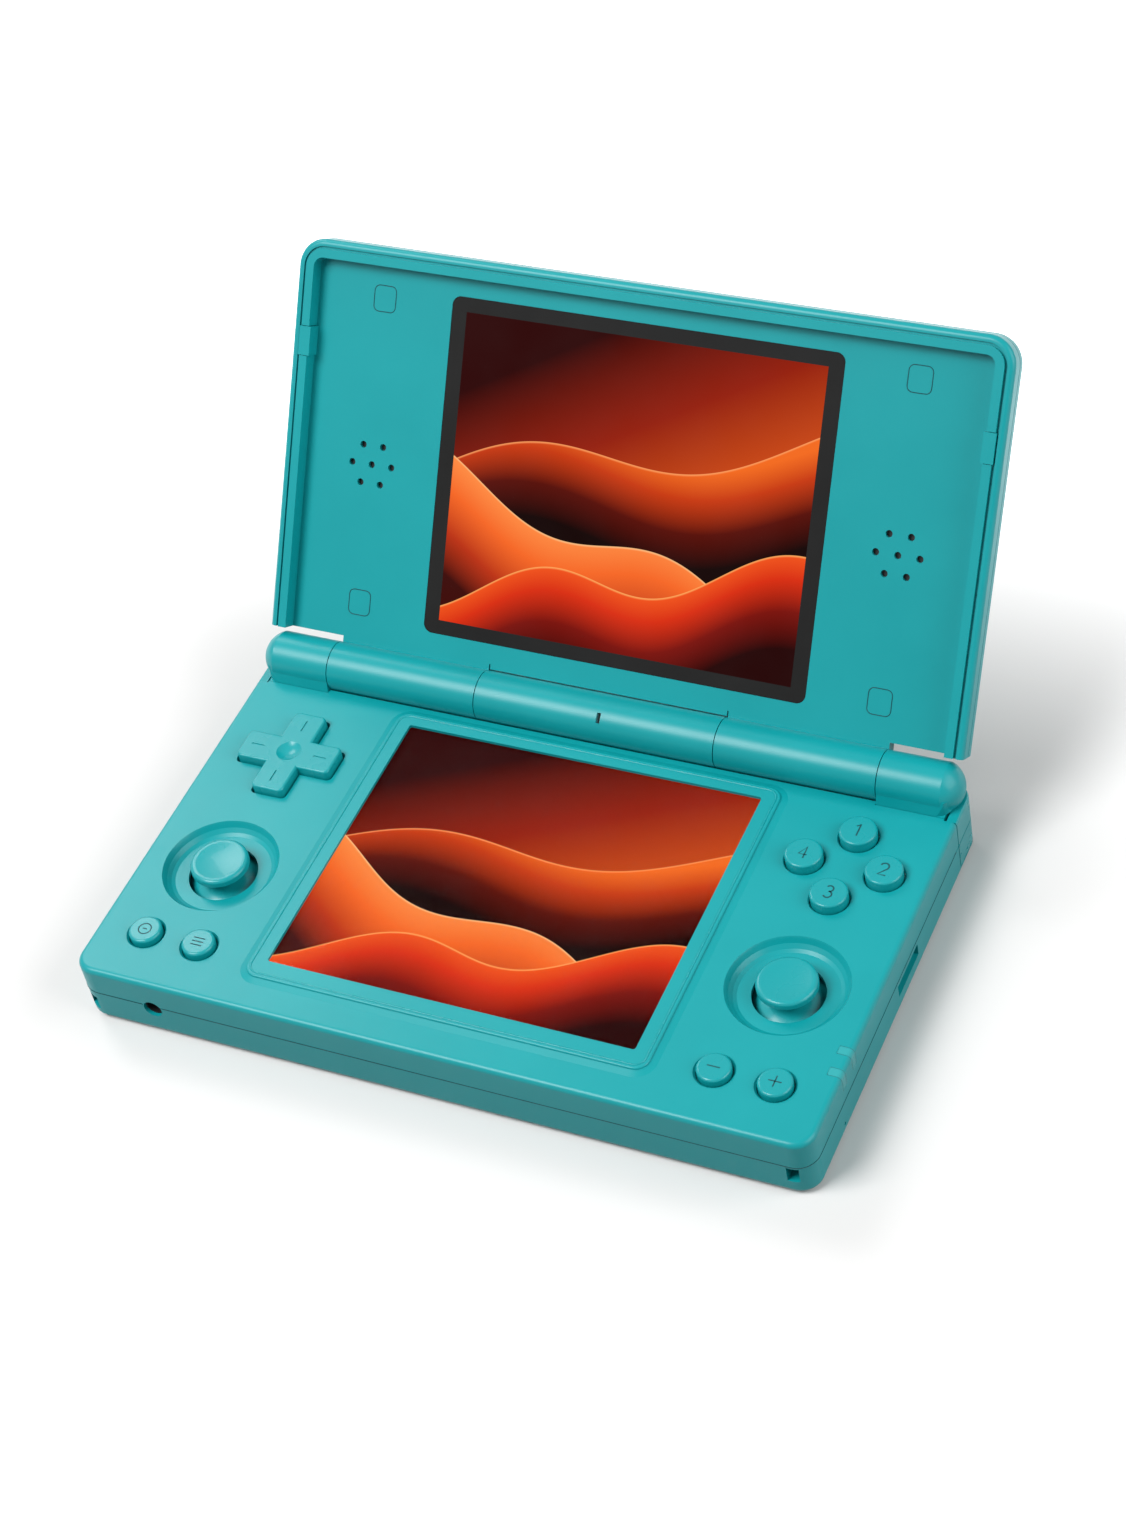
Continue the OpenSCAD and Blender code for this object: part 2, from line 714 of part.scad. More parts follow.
module main_board() {
    stick_room = module_half * 1.42 + 0.6;
    color(board_green) difference() {
        union() {
            translate([-screw_x - boss_r, -half_d + wall + 0.8, board_z])
                cube([2 * (screw_x + boss_r), inner_d - 1.6, board_t]);
            translate([-half_w + wall + board_edge, -half_d + wall + 4.5, board_z])
                cube([inner_w - 2 * board_edge, inner_d - 21, board_t]);
            // Switches behind the power button and the volume rocker
            for (y = [power_y, volume_y - 5, volume_y + 5])
                translate([-half_w + wall + side_flange + 0.8, y - 1.6, board_top - 0.1])
                    cube([switch_t, 3.2, side_button_z - board_top + 1]);
            // Processor can, memory and connectors
            translate([-10, -12, board_top - 0.1]) cube([22, 20, 1.6]);
            translate([18, -8, board_top - 0.1]) cube([12, 10, 1.1]);
            translate([-30, 6, board_top - 0.1]) cube([14, 5, 1.4]);
            translate([-6, connector_y, board_top - 0.1]) cube([12, 3.5, 1.2]);
        }
        stick_places() translate([0, 0, board_z - 1]) cylinder(r = stick_room, h = board_t + 2);
        screw_places() translate([0, 0, board_z - 1]) cylinder(r = screw_r + 0.3, h = board_t + 2);
        translate([-jack_x - jack_half_w - 0.3, -half_d, board_z - 1])
            cube([2 * jack_half_w + 0.6, wall + jack_len + 0.6, board_t + 2]);
    }
}

module battery() {
    color([0.2, 0.22, 0.26])
        translate([0, -half_d + wall + 7 + battery_d / 2, 0])
            rounded_prism(battery_w, battery_d, 2, floor_z + seat_fit, floor_z + seat_fit + battery_t);
}

// Housing of a stick: a tray with four bearing ears
module stick_module(x, y) {
    color(dark_plastic) translate([x, y, 0]) difference() {
        union() {
            translate([-module_half, -module_half, module_z])
                cube([2 * module_half, 2 * module_half, pivot_z - 1.4 - module_z]);
            for (a = [0:90:270]) rotate([0, 0, a])
                translate([module_half - module_wall, -ear_half, module_z])
                    cube([module_wall, 2 * ear_half, ear_top - module_z]);
        }
        translate([-module_half + module_wall, -module_half + module_wall, module_floor_z])
            cube([2 * (module_half - module_wall), 2 * (module_half - module_wall), 10]);
        translate([0, 0, pivot_z]) bar_x(trunnion_r + run_fit, -module_half - 1, module_half + 1);
    }
}

module left_stick_module() {
    stick_module(-stick_x, -left_stick_y);
}

module right_stick_module() {
    stick_module(stick_x, -right_stick_y);
}

// Square ring that rocks about X and carries the arm
module stick_yoke(x, y) {
    color(steel) translate([x, y, pivot_z]) difference() {
        union() {
            difference() {
                translate([-yoke_half, -yoke_half, -yoke_half_t])
                    cube([2 * yoke_half, 2 * yoke_half, 2 * yoke_half_t]);
                translate([-yoke_half + yoke_wall, -yoke_half + yoke_wall, -2])
                    cube([2 * (yoke_half - yoke_wall), 2 * (yoke_half - yoke_wall), 4]);
            }
            for (s = [-1, 1]) on_side(s) bar_x(trunnion_r, yoke_half - 0.2, module_half - 0.1);
        }
        rotate([0, 0, 90]) bar_x(trunnion_r + run_fit, -yoke_half - 1, yoke_half + 1);
    }
}

module left_stick_yoke() {
    stick_yoke(-stick_x, -left_stick_y);
}

module right_stick_yoke() {
    stick_yoke(stick_x, -right_stick_y);
}

// Block that rocks about Y in the yoke and guides the stem
module stick_arm(x, y) {
    color(steel) translate([x, y, pivot_z]) difference() {
        union() {
            translate([-arm_half + 0.6, -arm_half, -yoke_half_t])
                cube([2 * arm_half - 1.2, 2 * arm_half, 2 * yoke_half_t]);
            rotate([0, 0, 90]) bar_x(trunnion_r, -yoke_half + 0.1, -arm_half + 0.2);
            rotate([0, 0, 90]) bar_x(trunnion_r, arm_half - 0.2, yoke_half - 0.1);
        }
        translate([0, 0, -2]) cylinder(r = stem_r + run_fit, h = 4);
    }
}

module left_stick_arm() {
    stick_arm(-stick_x, -left_stick_y);
}

module right_stick_arm() {
    stick_arm(stick_x, -right_stick_y);
}

// Thumb cap, neck, dust skirt and stem of a stick
module stick_cap(x, y) {
    skirt_top_z = skirt_rim_z + 2;
    sphere_c = (pow(neck_r, 2) + pow(skirt_top_z, 2) - pow(skirt_r, 2) - pow(skirt_rim_z, 2))
        / (2 * (skirt_top_z - skirt_rim_z));
    sphere_r = sqrt(pow(skirt_r, 2) + pow(skirt_rim_z - sphere_c, 2));
    edge = 0.8;
    color(case_teal) translate([x, y, 0]) {
        rotate_extrude() union() {
            difference() {
                union() {
                    translate([0, cap_top - cap_t]) square([cap_r - edge, cap_t]);
                    translate([0, cap_top - cap_t + 0.5]) square([cap_r, cap_t - 0.5 - edge]);
                    translate([cap_r - edge, cap_top - edge]) circle(edge);
                    polygon([[cap_r - edge - 0.1, cap_top - cap_t], [cap_r - 0.5, cap_top - cap_t],
                             [cap_r, cap_top - cap_t + 0.5], [cap_r - edge - 0.1, cap_top - cap_t + 0.5]]);
                }
                translate([0, cap_top + 41.3]) intersection() {
                    circle(r = 41.6, $fn = 180);
                    translate([0, -60]) square([cap_r - edge, 60]);
                }
            }
            translate([0, skirt_top_z - skirt_wall]) square([neck_r, cap_top - cap_t - skirt_top_z + skirt_wall + 0.1]);
            // Shallow domed skirt
            intersection() {
                difference() {
                    translate([0, sphere_c]) circle(r = sphere_r, $fn = 180);
                    translate([0, sphere_c]) circle(r = sphere_r - skirt_wall, $fn = 180);
                }
                translate([0, skirt_rim_z - skirt_wall]) square([skirt_r, 6]);
            }
        }
        translate([0, 0, pivot_z - 1.1]) cylinder(r = stem_r, h = skirt_top_z - pivot_z + 1);
    }
}

module left_stick_cap() {
    stick_cap(-stick_x, -left_stick_y);
}

module right_stick_cap() {
    stick_cap(stick_x, -right_stick_y);
}

// Rubber dome on a membrane sheet
module rubber_dome(r, top) {
    translate([0, 0, board_top + membrane_t - 0.01]) cylinder(r1 = r + 0.7, r2 = r, h = top - board_top - membrane_t + 0.01);
}

module pad_membrane() {
    color(rubber_grey) translate([-pad_x, pad_y, 0]) {
        rounded_prism(pad_sheet_w, pad_sheet_w, sheet_r, board_top + seat_fit, board_top + membrane_t);
        for (a = [0:90:270]) rotate([0, 0, a]) translate([pad_press_r, 0, 0])
            rubber_dome(pad_dome_r, pad_flange_z - 0.12);
        translate([0, 0, board_top + membrane_t - 0.01]) cylinder(r = 1.6, h = 0.4);
    }
}

module play_button_membrane() {
    color(rubber_grey) {
        translate([play_x, play_y, 0])
            rounded_prism(play_sheet_w, play_sheet_w, sheet_r, board_top + seat_fit, board_top + membrane_t);
        play_places() rubber_dome(play_dome_r, dome_top);
    }
}

module small_button_membranes() {
    color(rubber_grey) {
        for (s = [-1, 1]) translate([s * (small_inner_x + small_outer_x) / 2, -small_y, 0])
            rounded_prism(small_outer_x - small_inner_x + 2 * small_r, 2 * small_r, sheet_r / 2,
                          board_top + seat_fit, board_top + membrane_t);
        small_places() rubber_dome(pad_dome_r, dome_top);
    }
}

// Round key: stepped flange under the roof and a cap with a rounded rim
module round_key(r, rise, edge) {
    top = base_h + rise;
    color(case_teal) rotate_extrude() union() {
        translate([0, flange_z]) square([r + flange_lip, flange_t]);
        translate([0, flange_z]) square([r, top - flange_z - edge]);
        translate([0, flange_z]) square([r - edge, top - flange_z]);
        translate([r - edge, top - edge]) circle(edge);
    }
}

module play_key(angle) {
    translate([play_x, play_y, 0]) rotate([0, 0, angle]) translate([play_pitch, 0, 0])
        round_key(play_r, play_rise, 0.5);
}

module play_button_right() {
    play_key(0);
}

module play_button_rear() {
    play_key(90);
}

module play_button_left() {
    play_key(180);
}

module play_button_front() {
    play_key(270);
}

module small_key(x) {
    translate([x, -small_y, 0]) round_key(small_r, small_rise, 0.6);
}

module small_button_left_outer() {
    small_key(-small_outer_x);
}

module small_button_left_inner() {
    small_key(-small_inner_x);
}

module small_button_right_inner() {
    small_key(small_inner_x);
}

module small_button_right_outer() {
    small_key(small_outer_x);
}

// Disc between the membrane and the direction pad, which lets the pad rock both ways
module pad_rocker() {
    color(dark_plastic) translate([-pad_x, pad_y, board_top + membrane_t + 0.45])
        cylinder(r = 2, h = pad_flange_z - board_top - membrane_t - 0.45 - 0.25);
}

module direction_pad() {
    top = base_h + pad_rise;
    color(case_teal) translate([-pad_x, pad_y, 0]) difference() {
        union() {
            for (a = [0, 90]) rotate([0, 0, a])
                edge_sweep(pad_span, pad_arm, pad_corner_r, pad_flange_z, top)
                    top_rounded_section(pad_corner_r, pad_flange_z, top, pad_edge_r);
            translate([0, 0, pad_flange_z]) linear_extrude(pad_flange_top - pad_flange_z)
                pad_plan(0.9);
        }
        // Round hollow in the middle, and a line near the tip of each arm
        translate([0, 0, top + pad_hollow_r - pad_hollow_t]) sphere(r = pad_hollow_r, $fn = 96);
        for (a = [0:90:270]) rotate([0, 0, a])
            translate([pad_span / 2 - pad_mark_in - pad_mark_len, -0.2, top - 0.2])
                cube([pad_mark_len, 0.4, 1]);
    }
}

module headphone_socket() {
    front_y = -half_d + jack_lip_t + seat_fit;
    color(dark_plastic) difference() {
        union() {
            translate([-jack_x - jack_half_w, -half_d + wall + 0.1, jack_z - jack_half_w])
                cube([2 * jack_half_w, jack_len, board_top - 0.1 - jack_z + jack_half_w]);
            translate([-jack_x, front_y, jack_z]) rotate([-90, 0, 0])
                cylinder(r = plug_r + 1.05, h = wall + 0.3);
        }
        translate([-jack_x, front_y - 1, jack_z]) rotate([-90, 0, 0])
            cylinder(r = plug_r + run_fit, h = 1 + jack_depth);
    }
}

module card_socket() {
    color(steel) difference() {
        translate([card_socket_x, card_y - card_w / 2 - 0.9, card_socket_z])
            cube([card_socket_len, card_w + 1.8, card_socket_t]);
        translate([card_socket_x + card_stop, card_y - card_w / 2 + 0.1, card_z - 0.4])
            cube([card_socket_len + 2, card_w - 0.2, 0.8]);
    }
}

module charging_port() {
    depth = 7.3;
    color(steel) translate([0, half_d - depth - 0.2, port_z]) {
        difference() {
            rotate([-90, 0, 0]) linear_extrude(depth) rounded_plate(port_w, port_h - 0.1, 1.2);
            translate([0, 1, 0]) rotate([-90, 0, 0])
                linear_extrude(depth) rounded_plate(port_w - 0.6, port_h - 0.7, 0.9);
        }
        translate([-3.3, 0.5, -0.35]) cube([6.6, depth - 1.2, 0.7]);
    }
}

module light_windows() {
    color([0.75, 0.9, 0.9]) intersection() {
        upper_outside();
        light_window_boxes(0);
    }
}

module rubber_feet() {
    color(rubber_grey) foot_places() cylinder(r = foot_r, h = foot_gap + foot_t - seat_fit);
}

module case_screws() {
    color(steel) screw_places() difference() {
        union() {
            translate([0, 0, foot_gap + 0.25]) cylinder(r = screw_head_r, h = screw_head_t);
            translate([0, 0, foot_gap + 0.25]) cylinder(r = screw_r, h = roof_z - 1.2 - foot_gap);
        }
        for (a = [0, 90]) rotate([0, 0, a]) translate([-1.1, -0.2, 0]) cube([2.2, 0.4, foot_gap + 0.65]);
    }
}

// Upright board with a switch behind each shoulder button
module shoulder_board(side) {
    color(board_green) on_side(side) {
        translate([shoulder_inner + 0.6, switch_board_y, floor_z + seat_fit])
            cube([switch_board_len, 0.8, trough_z - trough_floor_t - floor_z - 2 * seat_fit]);
        for (z = [(shoulder_low_z + shoulder_split) / 2 - 0.8, trough_z - trough_floor_t - 1.8])
            translate([shoulder_inner + 1.6, switch_board_y + 0.7, z]) {
                cube([4, 1.7, 1.6]);
                translate([2, 1.6, 0.8]) rotate([-90, 0, 0]) cylinder(r = 0.6, h = 1.3);
            }
    }
}

module left_shoulder_board() {
    shoulder_board(-1);
}

module right_shoulder_board() {
    shoulder_board(1);
}

module shoulder_pivot_pins() {
    color(steel) for (s = [-1, 1]) on_side(s)
        translate([pin_x, pin_y, 0.85]) cylinder(r = pin_r, h = shoulder_top - 1.6);
}

// Plan of a shoulder button: a rear bar, the corner and a side wing
module shoulder_plan(side_wing) {
    translate([shoulder_inner, half_d - shoulder_t]) square([half_w - shoulder_inner, shoulder_t]);
    translate([wing_x, wing_front_y]) square([wing_t, half_d - wing_front_y]);
    polygon([[wing_x + 0.1, shoulder_back_y], [wing_x + 0.1, half_d - shoulder_t + 0.1],
             [wing_x - 4.5, half_d - shoulder_t + 0.1]]);
}

// The side wing rises to just below the end barrel's overhang
module upper_shoulder_button(side) {
    z0 = shoulder_split;
    color(case_teal) on_side(side) difference() {
        intersection() {
            union() {
                translate([0, 0, z0]) linear_extrude(shoulder_top - z0) shoulder_plan();
                translate([pin_x, pin_y, z0]) cylinder(r = pin_boss_r, h = shoulder_top - z0);
                translate([wing_x, wing_front_y, z0]) cube([wing_t, wing_reach, wing_top - z0]);
            }
            upper_outside();
        }
        translate([pin_x, pin_y, z0 - 1]) cylinder(r = pin_r + run_fit, h = shoulder_top - z0 + 0.6);
    }
}

module left_upper_shoulder_button() {
    upper_shoulder_button(-1);
}

module right_upper_shoulder_button() {
    upper_shoulder_button(1);
}

module lower_shoulder_button(side) {
    z0 = shoulder_low_z;
    z1 = shoulder_split - shoulder_gap;
    color(case_teal) on_side(side) difference() {
        intersection() {
            union() {
                translate([0, 0, z0]) linear_extrude(z1 - z0) shoulder_plan();
                translate([pin_x, pin_y, z0]) cylinder(r = pin_boss_r, h = z1 - z0);
            }
            edge_sweep(body_w, body_d, corner_r, foot_gap, seam_z + 1) mirror([0, 1])
                translate([0, -seam_z - 1])
                    top_rounded_section(corner_r, 0, seam_z + 1 - foot_gap, bottom_edge_r);
        }
        translate([pin_x, pin_y, z0 - 1]) cylinder(r = pin_r + run_fit, h = z1 - z0 + 2);
    }
}

module left_lower_shoulder_button() {
    lower_shoulder_button(-1);
}

module right_lower_shoulder_button() {
    lower_shoulder_button(1);
}

// End barrel of the hinge, with its foot on the base and the cartridge's bore
module end_barrel(side) {
    x0 = end_inner + barrel_gap / 2;
    x1 = half_w - end_inset;
    reach = norm([foot_reach, hinge_rise]);
    turn = atan2(hinge_rise, foot_reach) - acos(barrel_r / reach);
    meet_r = barrel_r - 0.2;
    meet = [-meet_r * cos(turn), -meet_r * sin(turn)];
    bottom = rear_step_z + seat_fit - hinge_z;
    color(case_teal) on_side(side) difference() {
        union() {
            translate([0, hinge_y, hinge_z]) domed_bar(barrel_r, x0, x1);
            // Foot, sunk in the base, and its rounded front above the top face
            translate([x0, hinge_y - foot_reach, hinge_z + bottom])
                cube([foot_outer - x0, foot_reach + hinge_back - 0.02, -hinge_rise - bottom]);
            intersection() {
                translate([x0, hinge_y, hinge_z]) rotate([90, 0, 90])
                    linear_extrude(foot_top_outer - x0)
                        polygon([[-foot_reach, -hinge_rise - 0.3], [-foot_reach, -hinge_rise], meet,
                                 [0, 0], [0, -hinge_rise - 0.3]]);
                translate([foot_top_outer - 15, hinge_y - foot_reach + 15, 0])
                    linear_extrude(hinge_z + 5) rounded_plate(30, 30, foot_corner_r);
            }
        }
        translate([foot_outer, hinge_y - foot_reach - 1, 0])
            cube([half_w, foot_reach + barrel_r + 2, base_h + 0.02]);
        translate([0, hinge_y, hinge_z]) bar_x(cartridge_r + seat_fit, x0 - 1, x1 - 3);
        // Screw hole from below
        translate([x0 + 6, hinge_y - 2, bottom + hinge_z - 1]) cylinder(r = 0.7, h = 2.2);
    }
}

module left_end_barrel() {
    end_barrel(-1);
}

module right_end_barrel() {
    end_barrel(1);
}

module middle_barrel() {
    x1 = middle_half - barrel_gap / 2;
    color(case_teal) difference() {
        union() {
            translate([0, hinge_y, hinge_z]) bar_x(barrel_r, -x1, x1);
            translate([-x1, hinge_y, rear_step_z + seat_fit])
                cube([2 * x1, hinge_back - 0.55, hinge_z - rear_step_z - 2]);
        }
        translate([0, hinge_y, hinge_z]) {
            bar_x(sleeve_r + seat_fit, -x1 - 1, x1 + 1);
            bar_x(barrel_r - 1.4, -x1 + 7, x1 - 7);
            // Microphone slot
            rotate([slot_angle, 0, 0]) translate([slot_x - 0.45, -slot_len / 2, 0])
                cube([0.9, slot_len, barrel_r + 1]);
        }
        translate([-5, hinge_y - 0.4, trough_z - 1]) cube([10, 1.4, 5]);
    }
}

module microphone() {
    color(steel) translate([0, hinge_y, hinge_z]) rotate([slot_angle, 0, 0])
        translate([slot_x - mic_w / 2, -mic_w / 2, mic_z]) cube([mic_w, mic_w, 0.9]);
}

// Friction cartridge in the end barrel with the shaft that turns in the lid
module hinge_cartridge(side) {
    x0 = end_inner + barrel_gap / 2 + 0.6;
    color(steel) on_side(side) translate([0, hinge_y, hinge_z]) {
        bar_x(cartridge_r, x0, half_w - end_inset - 3.1);
        bar_x(shaft_r, end_inner - shaft_in + 0.4, x0 + 0.1);
    }
}

module left_hinge_cartridge() {
    hinge_cartridge(-1);
}

module right_hinge_cartridge() {
    hinge_cartridge(1);
}

module hinge_sleeves() {
    color(steel) for (s = [-1, 1]) on_side(s) translate([0, hinge_y, hinge_z]) difference() {
        bar_x(sleeve_r, middle_half - 6.5, middle_half + sleeve_reach - 0.4);
        bar_x(sleeve_r - sleeve_wall, middle_half - 8, middle_half + sleeve_reach + 0.6);
    }
}

module base_ribbon_cable() {
    color([0.75, 0.45, 0.1]) {
        translate([-4, hinge_y + 0.1, board_top + seat_fit]) cube([8, 0.3, hinge_z - board_top]);
        translate([0, hinge_y, hinge_z]) bar_x(cable_r, -middle_half - 8, 4);
    }
}

// Outline of the lid, with an inset, down to a given distance from the axis
module lid_outline(inset, low_v) {
    h = lid_top_v - inset - low_v + lid_corner_r;
    intersection() {
        translate([0, lid_top_v - inset - h / 2])
            rounded_plate(2 * (lid_half - inset), h, lid_corner_r - inset);
        translate([-lid_half, low_v]) square([2 * lid_half, lid_top_v]);
    }
}

// Carries an edge section round the lid's sides and top.
// The section's X runs outwards from the corner's centre, and its Y is the height.
module lid_sweep(low_v) {
    cx = lid_half - lid_corner_r;
    cv = lid_top_v - lid_corner_r;
    for (s = [-1, 1]) on_side(s) {
        translate([cx, cv, 0]) rotate_extrude(angle = 90) children();
        translate([cx, cv, 0]) rotate([90, 0, 0]) linear_extrude(cv - low_v) children();
    }
    translate([-cx, cv, 0]) rotate([90, 0, 90]) linear_extrude(2 * cx) children();
}

module lid_screw_places() {
    for (x = [-lid_screw_x, lid_screw_x], v = lid_screw_v) translate([x, v, 0]) children();
}

module lid_outer_cover() {
    edge = lid_seam / 2 - 0.1;
    skirt_in = lid_corner_r - skirt_t;
    color(case_teal) on_lid() difference() {
        union() {
            lid_sweep(lid_edge_v) difference() {
                mirror([0, 1]) translate([0, -lid_seam_n])
                    top_rounded_section(lid_corner_r, 0, lid_seam_n - outer_n, edge);
                translate([-1, cover_n]) square([skirt_in + 1, 10]);
                translate([lid_corner_r - 0.3, lid_seam_n - seam_groove / 2]) square([1, 1]);
            }
            translate([-lid_half + lid_corner_r, lid_edge_v, outer_n])
                cube([2 * (lid_half - lid_corner_r), lid_top_v - lid_edge_v - lid_corner_r, lid_wall]);
            // Lower wall above the middle barrel
            translate([-middle_half, lid_middle_v, outer_n]) cube([2 * middle_half, 2, lid_wall]);
            lid_screw_places() translate([0, 0, cover_n - 0.1]) cylinder(r = 2, h = 0.45);
        }
        lid_screw_places() translate([0, 0, cover_n - 0.8]) cylinder(r = lid_screw_r + run_fit, h = 3);
    }
}

module lid_inner_panel() {
    lip_r = lid_corner_r - rim_w;
    groove_r = lid_corner_r - 1.75;
    color(case_teal) on_lid() difference() {
        union() {
            // Rim: a flat lip, a sunk line and a rounded outer band
            lid_sweep(lid_edge_v) difference() {
                union() {
                    translate([lip_r, plate_back_n]) square([groove_r - 0.3 - lip_r, rim_n - plate_back_n]);
                    translate([lip_r, plate_back_n]) square([lid_corner_r - skirt_t - seat_fit - lip_r, 1.2]);
                    translate([lip_r, lid_seam_n]) square([lid_corner_r - lip_r, 0.2 + rim_n - 0.3 - lid_seam_n - 1.1]);
                    translate([lip_r, lid_seam_n]) square([lid_corner_r - 1.1 - lip_r, rim_n - 0.3 - lid_seam_n]);
                    translate([lid_corner_r - 1.1, rim_n - 0.3 - 1.1]) circle(1.1);
                }
                translate([groove_r - 0.3, rim_n - 0.8]) square([0.55, 2]);
                translate([lid_corner_r - 0.3, lid_seam_n - 0.01]) square([1, seam_groove / 2]);
            }
            // Inner plate
            translate([0, 0, plate_back_n]) linear_extrude(plate_t) lid_outline(rim_w - 0.2, lid_edge_v);
            // Closing rib that follows the middle barrel
            difference() {
                translate([-middle_half + barrel_gap, lid_middle_v - 1.3, cover_n + seat_fit])
                    cube([2 * (middle_half - barrel_gap), 3.3, plate_n - cover_n - seat_fit]);
                bar_x(bar_room_r, -middle_half, middle_half);
            }
            lid_screw_places() translate([0, 0, cover_n + 0.4]) cylinder(r = 2.6, h = plate_back_n - cover_n - 0.3);
            for (s = [-1, 1]) on_side(s) {
                bar_x(barrel_r, middle_half + barrel_gap / 2, end_inner - barrel_gap / 2);
                translate([middle_half + barrel_gap / 2, 0, outer_n])
                    cube([end_inner - middle_half - barrel_gap, lid_edge_v - seat_fit, plate_n - outer_n]);
                translate([middle_half + barrel_gap / 2, 0, plate_back_n])
                    cube([end_inner - middle_half - barrel_gap, lid_edge_v + 1, plate_t]);
            }
        }
        // Seat of the glass and room for the display
        translate([0, upper_v, 0]) {
            rounded_prism(bezel_w + 2 * seat_fit, bezel_d + 2 * seat_fit, bezel_r,
                          plate_n - upper_glass_t, plate_n + 5);
            rounded_prism(upper_display_w + 0.2, upper_display_d + 0.2, 0.6, plate_back_n - 2, plate_n);
        }
        for (s = [-1, 1]) on_side(s) {
            // Speaker grille
            translate([speaker_x, speaker_v, plate_back_n - 1]) {
                cylinder(r = grille_hole_r, h = plate_t + 2);
                for (a = [0:60:300]) rotate([0, 0, a]) translate([grille_r, 0, 0])
                    cylinder(r = grille_hole_r, h = plate_t + 2);
            }
            // Bumper pocket in the lip
            translate([rim_half - bumper_out - 0.1, bumper_v - bumper_len / 2 - 0.12, plate_n])
                cube([bumper_w + 0.2, bumper_len + 0.24, 10]);
            // Bores for the shaft and the sleeve, and the cable's way up
            bar_x(shaft_r + run_fit, end_inner - shaft_in, end_inner + 1);
            bar_x(sleeve_r + run_fit, middle_half - 1, middle_half + sleeve_reach);
            bar_x(cable_r + 0.4, middle_half + 5, cable_x + cable_way_w + 0.6);
            translate([cable_x, 0, cover_n + 0.1])
                cube([cable_way_w, lid_edge_v + 1, plate_back_n - cover_n - 0.3]);
            translate([cable_x, -0.4, cover_n + 0.1]) cube([cable_way_w, 0.9, -cover_n]);
        }
        lid_screw_places() {
            translate([0, 0, plate_n - cap_seat_t])
                linear_extrude(2) rounded_plate(cap_w + 0.24, cap_h + 0.24, 1.3);
            translate([0, 0, plate_n - cap_seat_t - lid_head_t - 0.1]) cylinder(r = 1.7, h = 1);
            translate([0, 0, plate_n - 4]) cylinder(r = lid_screw_r + 0.1, h = 4);
        }
    }
}

module upper_screen_glass() {
    color([0.05, 0.05, 0.05]) on_lid() translate([0, upper_v, 0])
        rounded_prism(bezel_w, bezel_d, bezel_r - seat_fit,
                      plate_n - upper_glass_t + 0.02, plate_n - 0.05);
}

module upper_display() {
    color([0.9, 0.42, 0.12]) on_lid() translate([0, upper_v, 0])
        rounded_prism(upper_display_w, upper_display_d, 0.5, cover_n + seat_fit,
                      cover_n + seat_fit + upper_display_t);
}

module speaker(side) {
    color(dark_plastic) on_lid() on_side(side)
        translate([speaker_x, speaker_v, 0])
            rounded_prism(speaker_w, speaker_h, 2, cover_n + seat_fit, plate_back_n - seat_fit);
}

module left_speaker() {
    speaker(-1);
}

module right_speaker() {
    speaker(1);
}

module screw_caps() {
    color(case_teal) on_lid() lid_screw_places()
        translate([0, 0, plate_n - cap_seat_t + 0.02])
            linear_extrude(cap_seat_t - 0.02) rounded_plate(cap_w, cap_h, 1.2);
}

module lid_screws() {
    top = plate_n - cap_seat_t - 0.05;
    color(steel) on_lid() lid_screw_places() {
        translate([0, 0, top - lid_head_t]) cylinder(r = 1.5, h = lid_head_t);
        translate([0, 0, cover_n - 0.7]) cylinder(r = lid_screw_r, h = top - cover_n + 0.5);
    }
}

module rim_bumpers() {
    color(case_teal) on_lid() for (s = [-1, 1]) on_side(s)
        translate([rim_half - bumper_out, bumper_v - bumper_len / 2, plate_n + seat_fit])
            cube([bumper_w, bumper_len, rim_n - plate_n + 0.1]);
}

module lid_ribbon_cable() {
    n0 = (cover_n + plate_back_n) / 2;
    color([0.75, 0.45, 0.1]) on_lid() mirror([1, 0, 0]) {
        bar_x(cable_r, cable_x - 0.2, cable_x + cable_way_w - 0.4);
        translate([cable_x + 0.4, 0, n0 - 0.1])
            cube([cable_way_w - 0.8, upper_v - upper_display_d / 2 - 0.1, 0.25]);
        translate([cable_x + 0.4, -0.1, n0 - 0.1]) cube([cable_way_w - 0.8, 0.25, -n0]);
    }
}

// Pill-shaped button through the left wall with a flange inside it
module side_button(y, len) {
    color(case_teal) {
        side_slot(y, len, 0, -half_w - side_proud, -half_w + wall + 0.4);
        side_slot(y, len, 0.7, -half_w + wall + 0.3, -half_w + wall + 0.3 + side_flange);
    }
}

module power_button() {
    side_button(power_y, power_len);
}

// The rocker swings on a short upright pin
module volume_rocker() {
    side_button(volume_y, volume_len);
    color(case_teal) translate([-half_w + wall + 0.7, volume_y, side_button_z - side_button_h / 2 - 1])
        cylinder(r = 0.55, h = side_button_h + 2);
}

base_top_shell();
base_bottom_shell();
lower_screen_glass();
lower_display();
main_board();
battery();
left_stick_module();
right_stick_module();
pad_membrane();
play_button_membrane();
small_button_membranes();
headphone_socket();
card_socket();
charging_port();
light_windows();
rubber_feet();
case_screws();
left_shoulder_board();
right_shoulder_board();
shoulder_pivot_pins();
left_end_barrel();
right_end_barrel();
middle_barrel();
left_hinge_cartridge();
right_hinge_cartridge();
hinge_sleeves();
microphone();
base_ribbon_cable();
lid_outer_cover();
lid_inner_panel();
upper_screen_glass();
upper_display();
left_speaker();
right_speaker();
screw_caps();
lid_screws();
rim_bumpers();
lid_ribbon_cable();
pad_rocker();
direction_pad();
play_button_rear();
play_button_front();
play_button_left();
play_button_right();
small_button_left_outer();
small_button_left_inner();
small_button_right_inner();
small_button_right_outer();
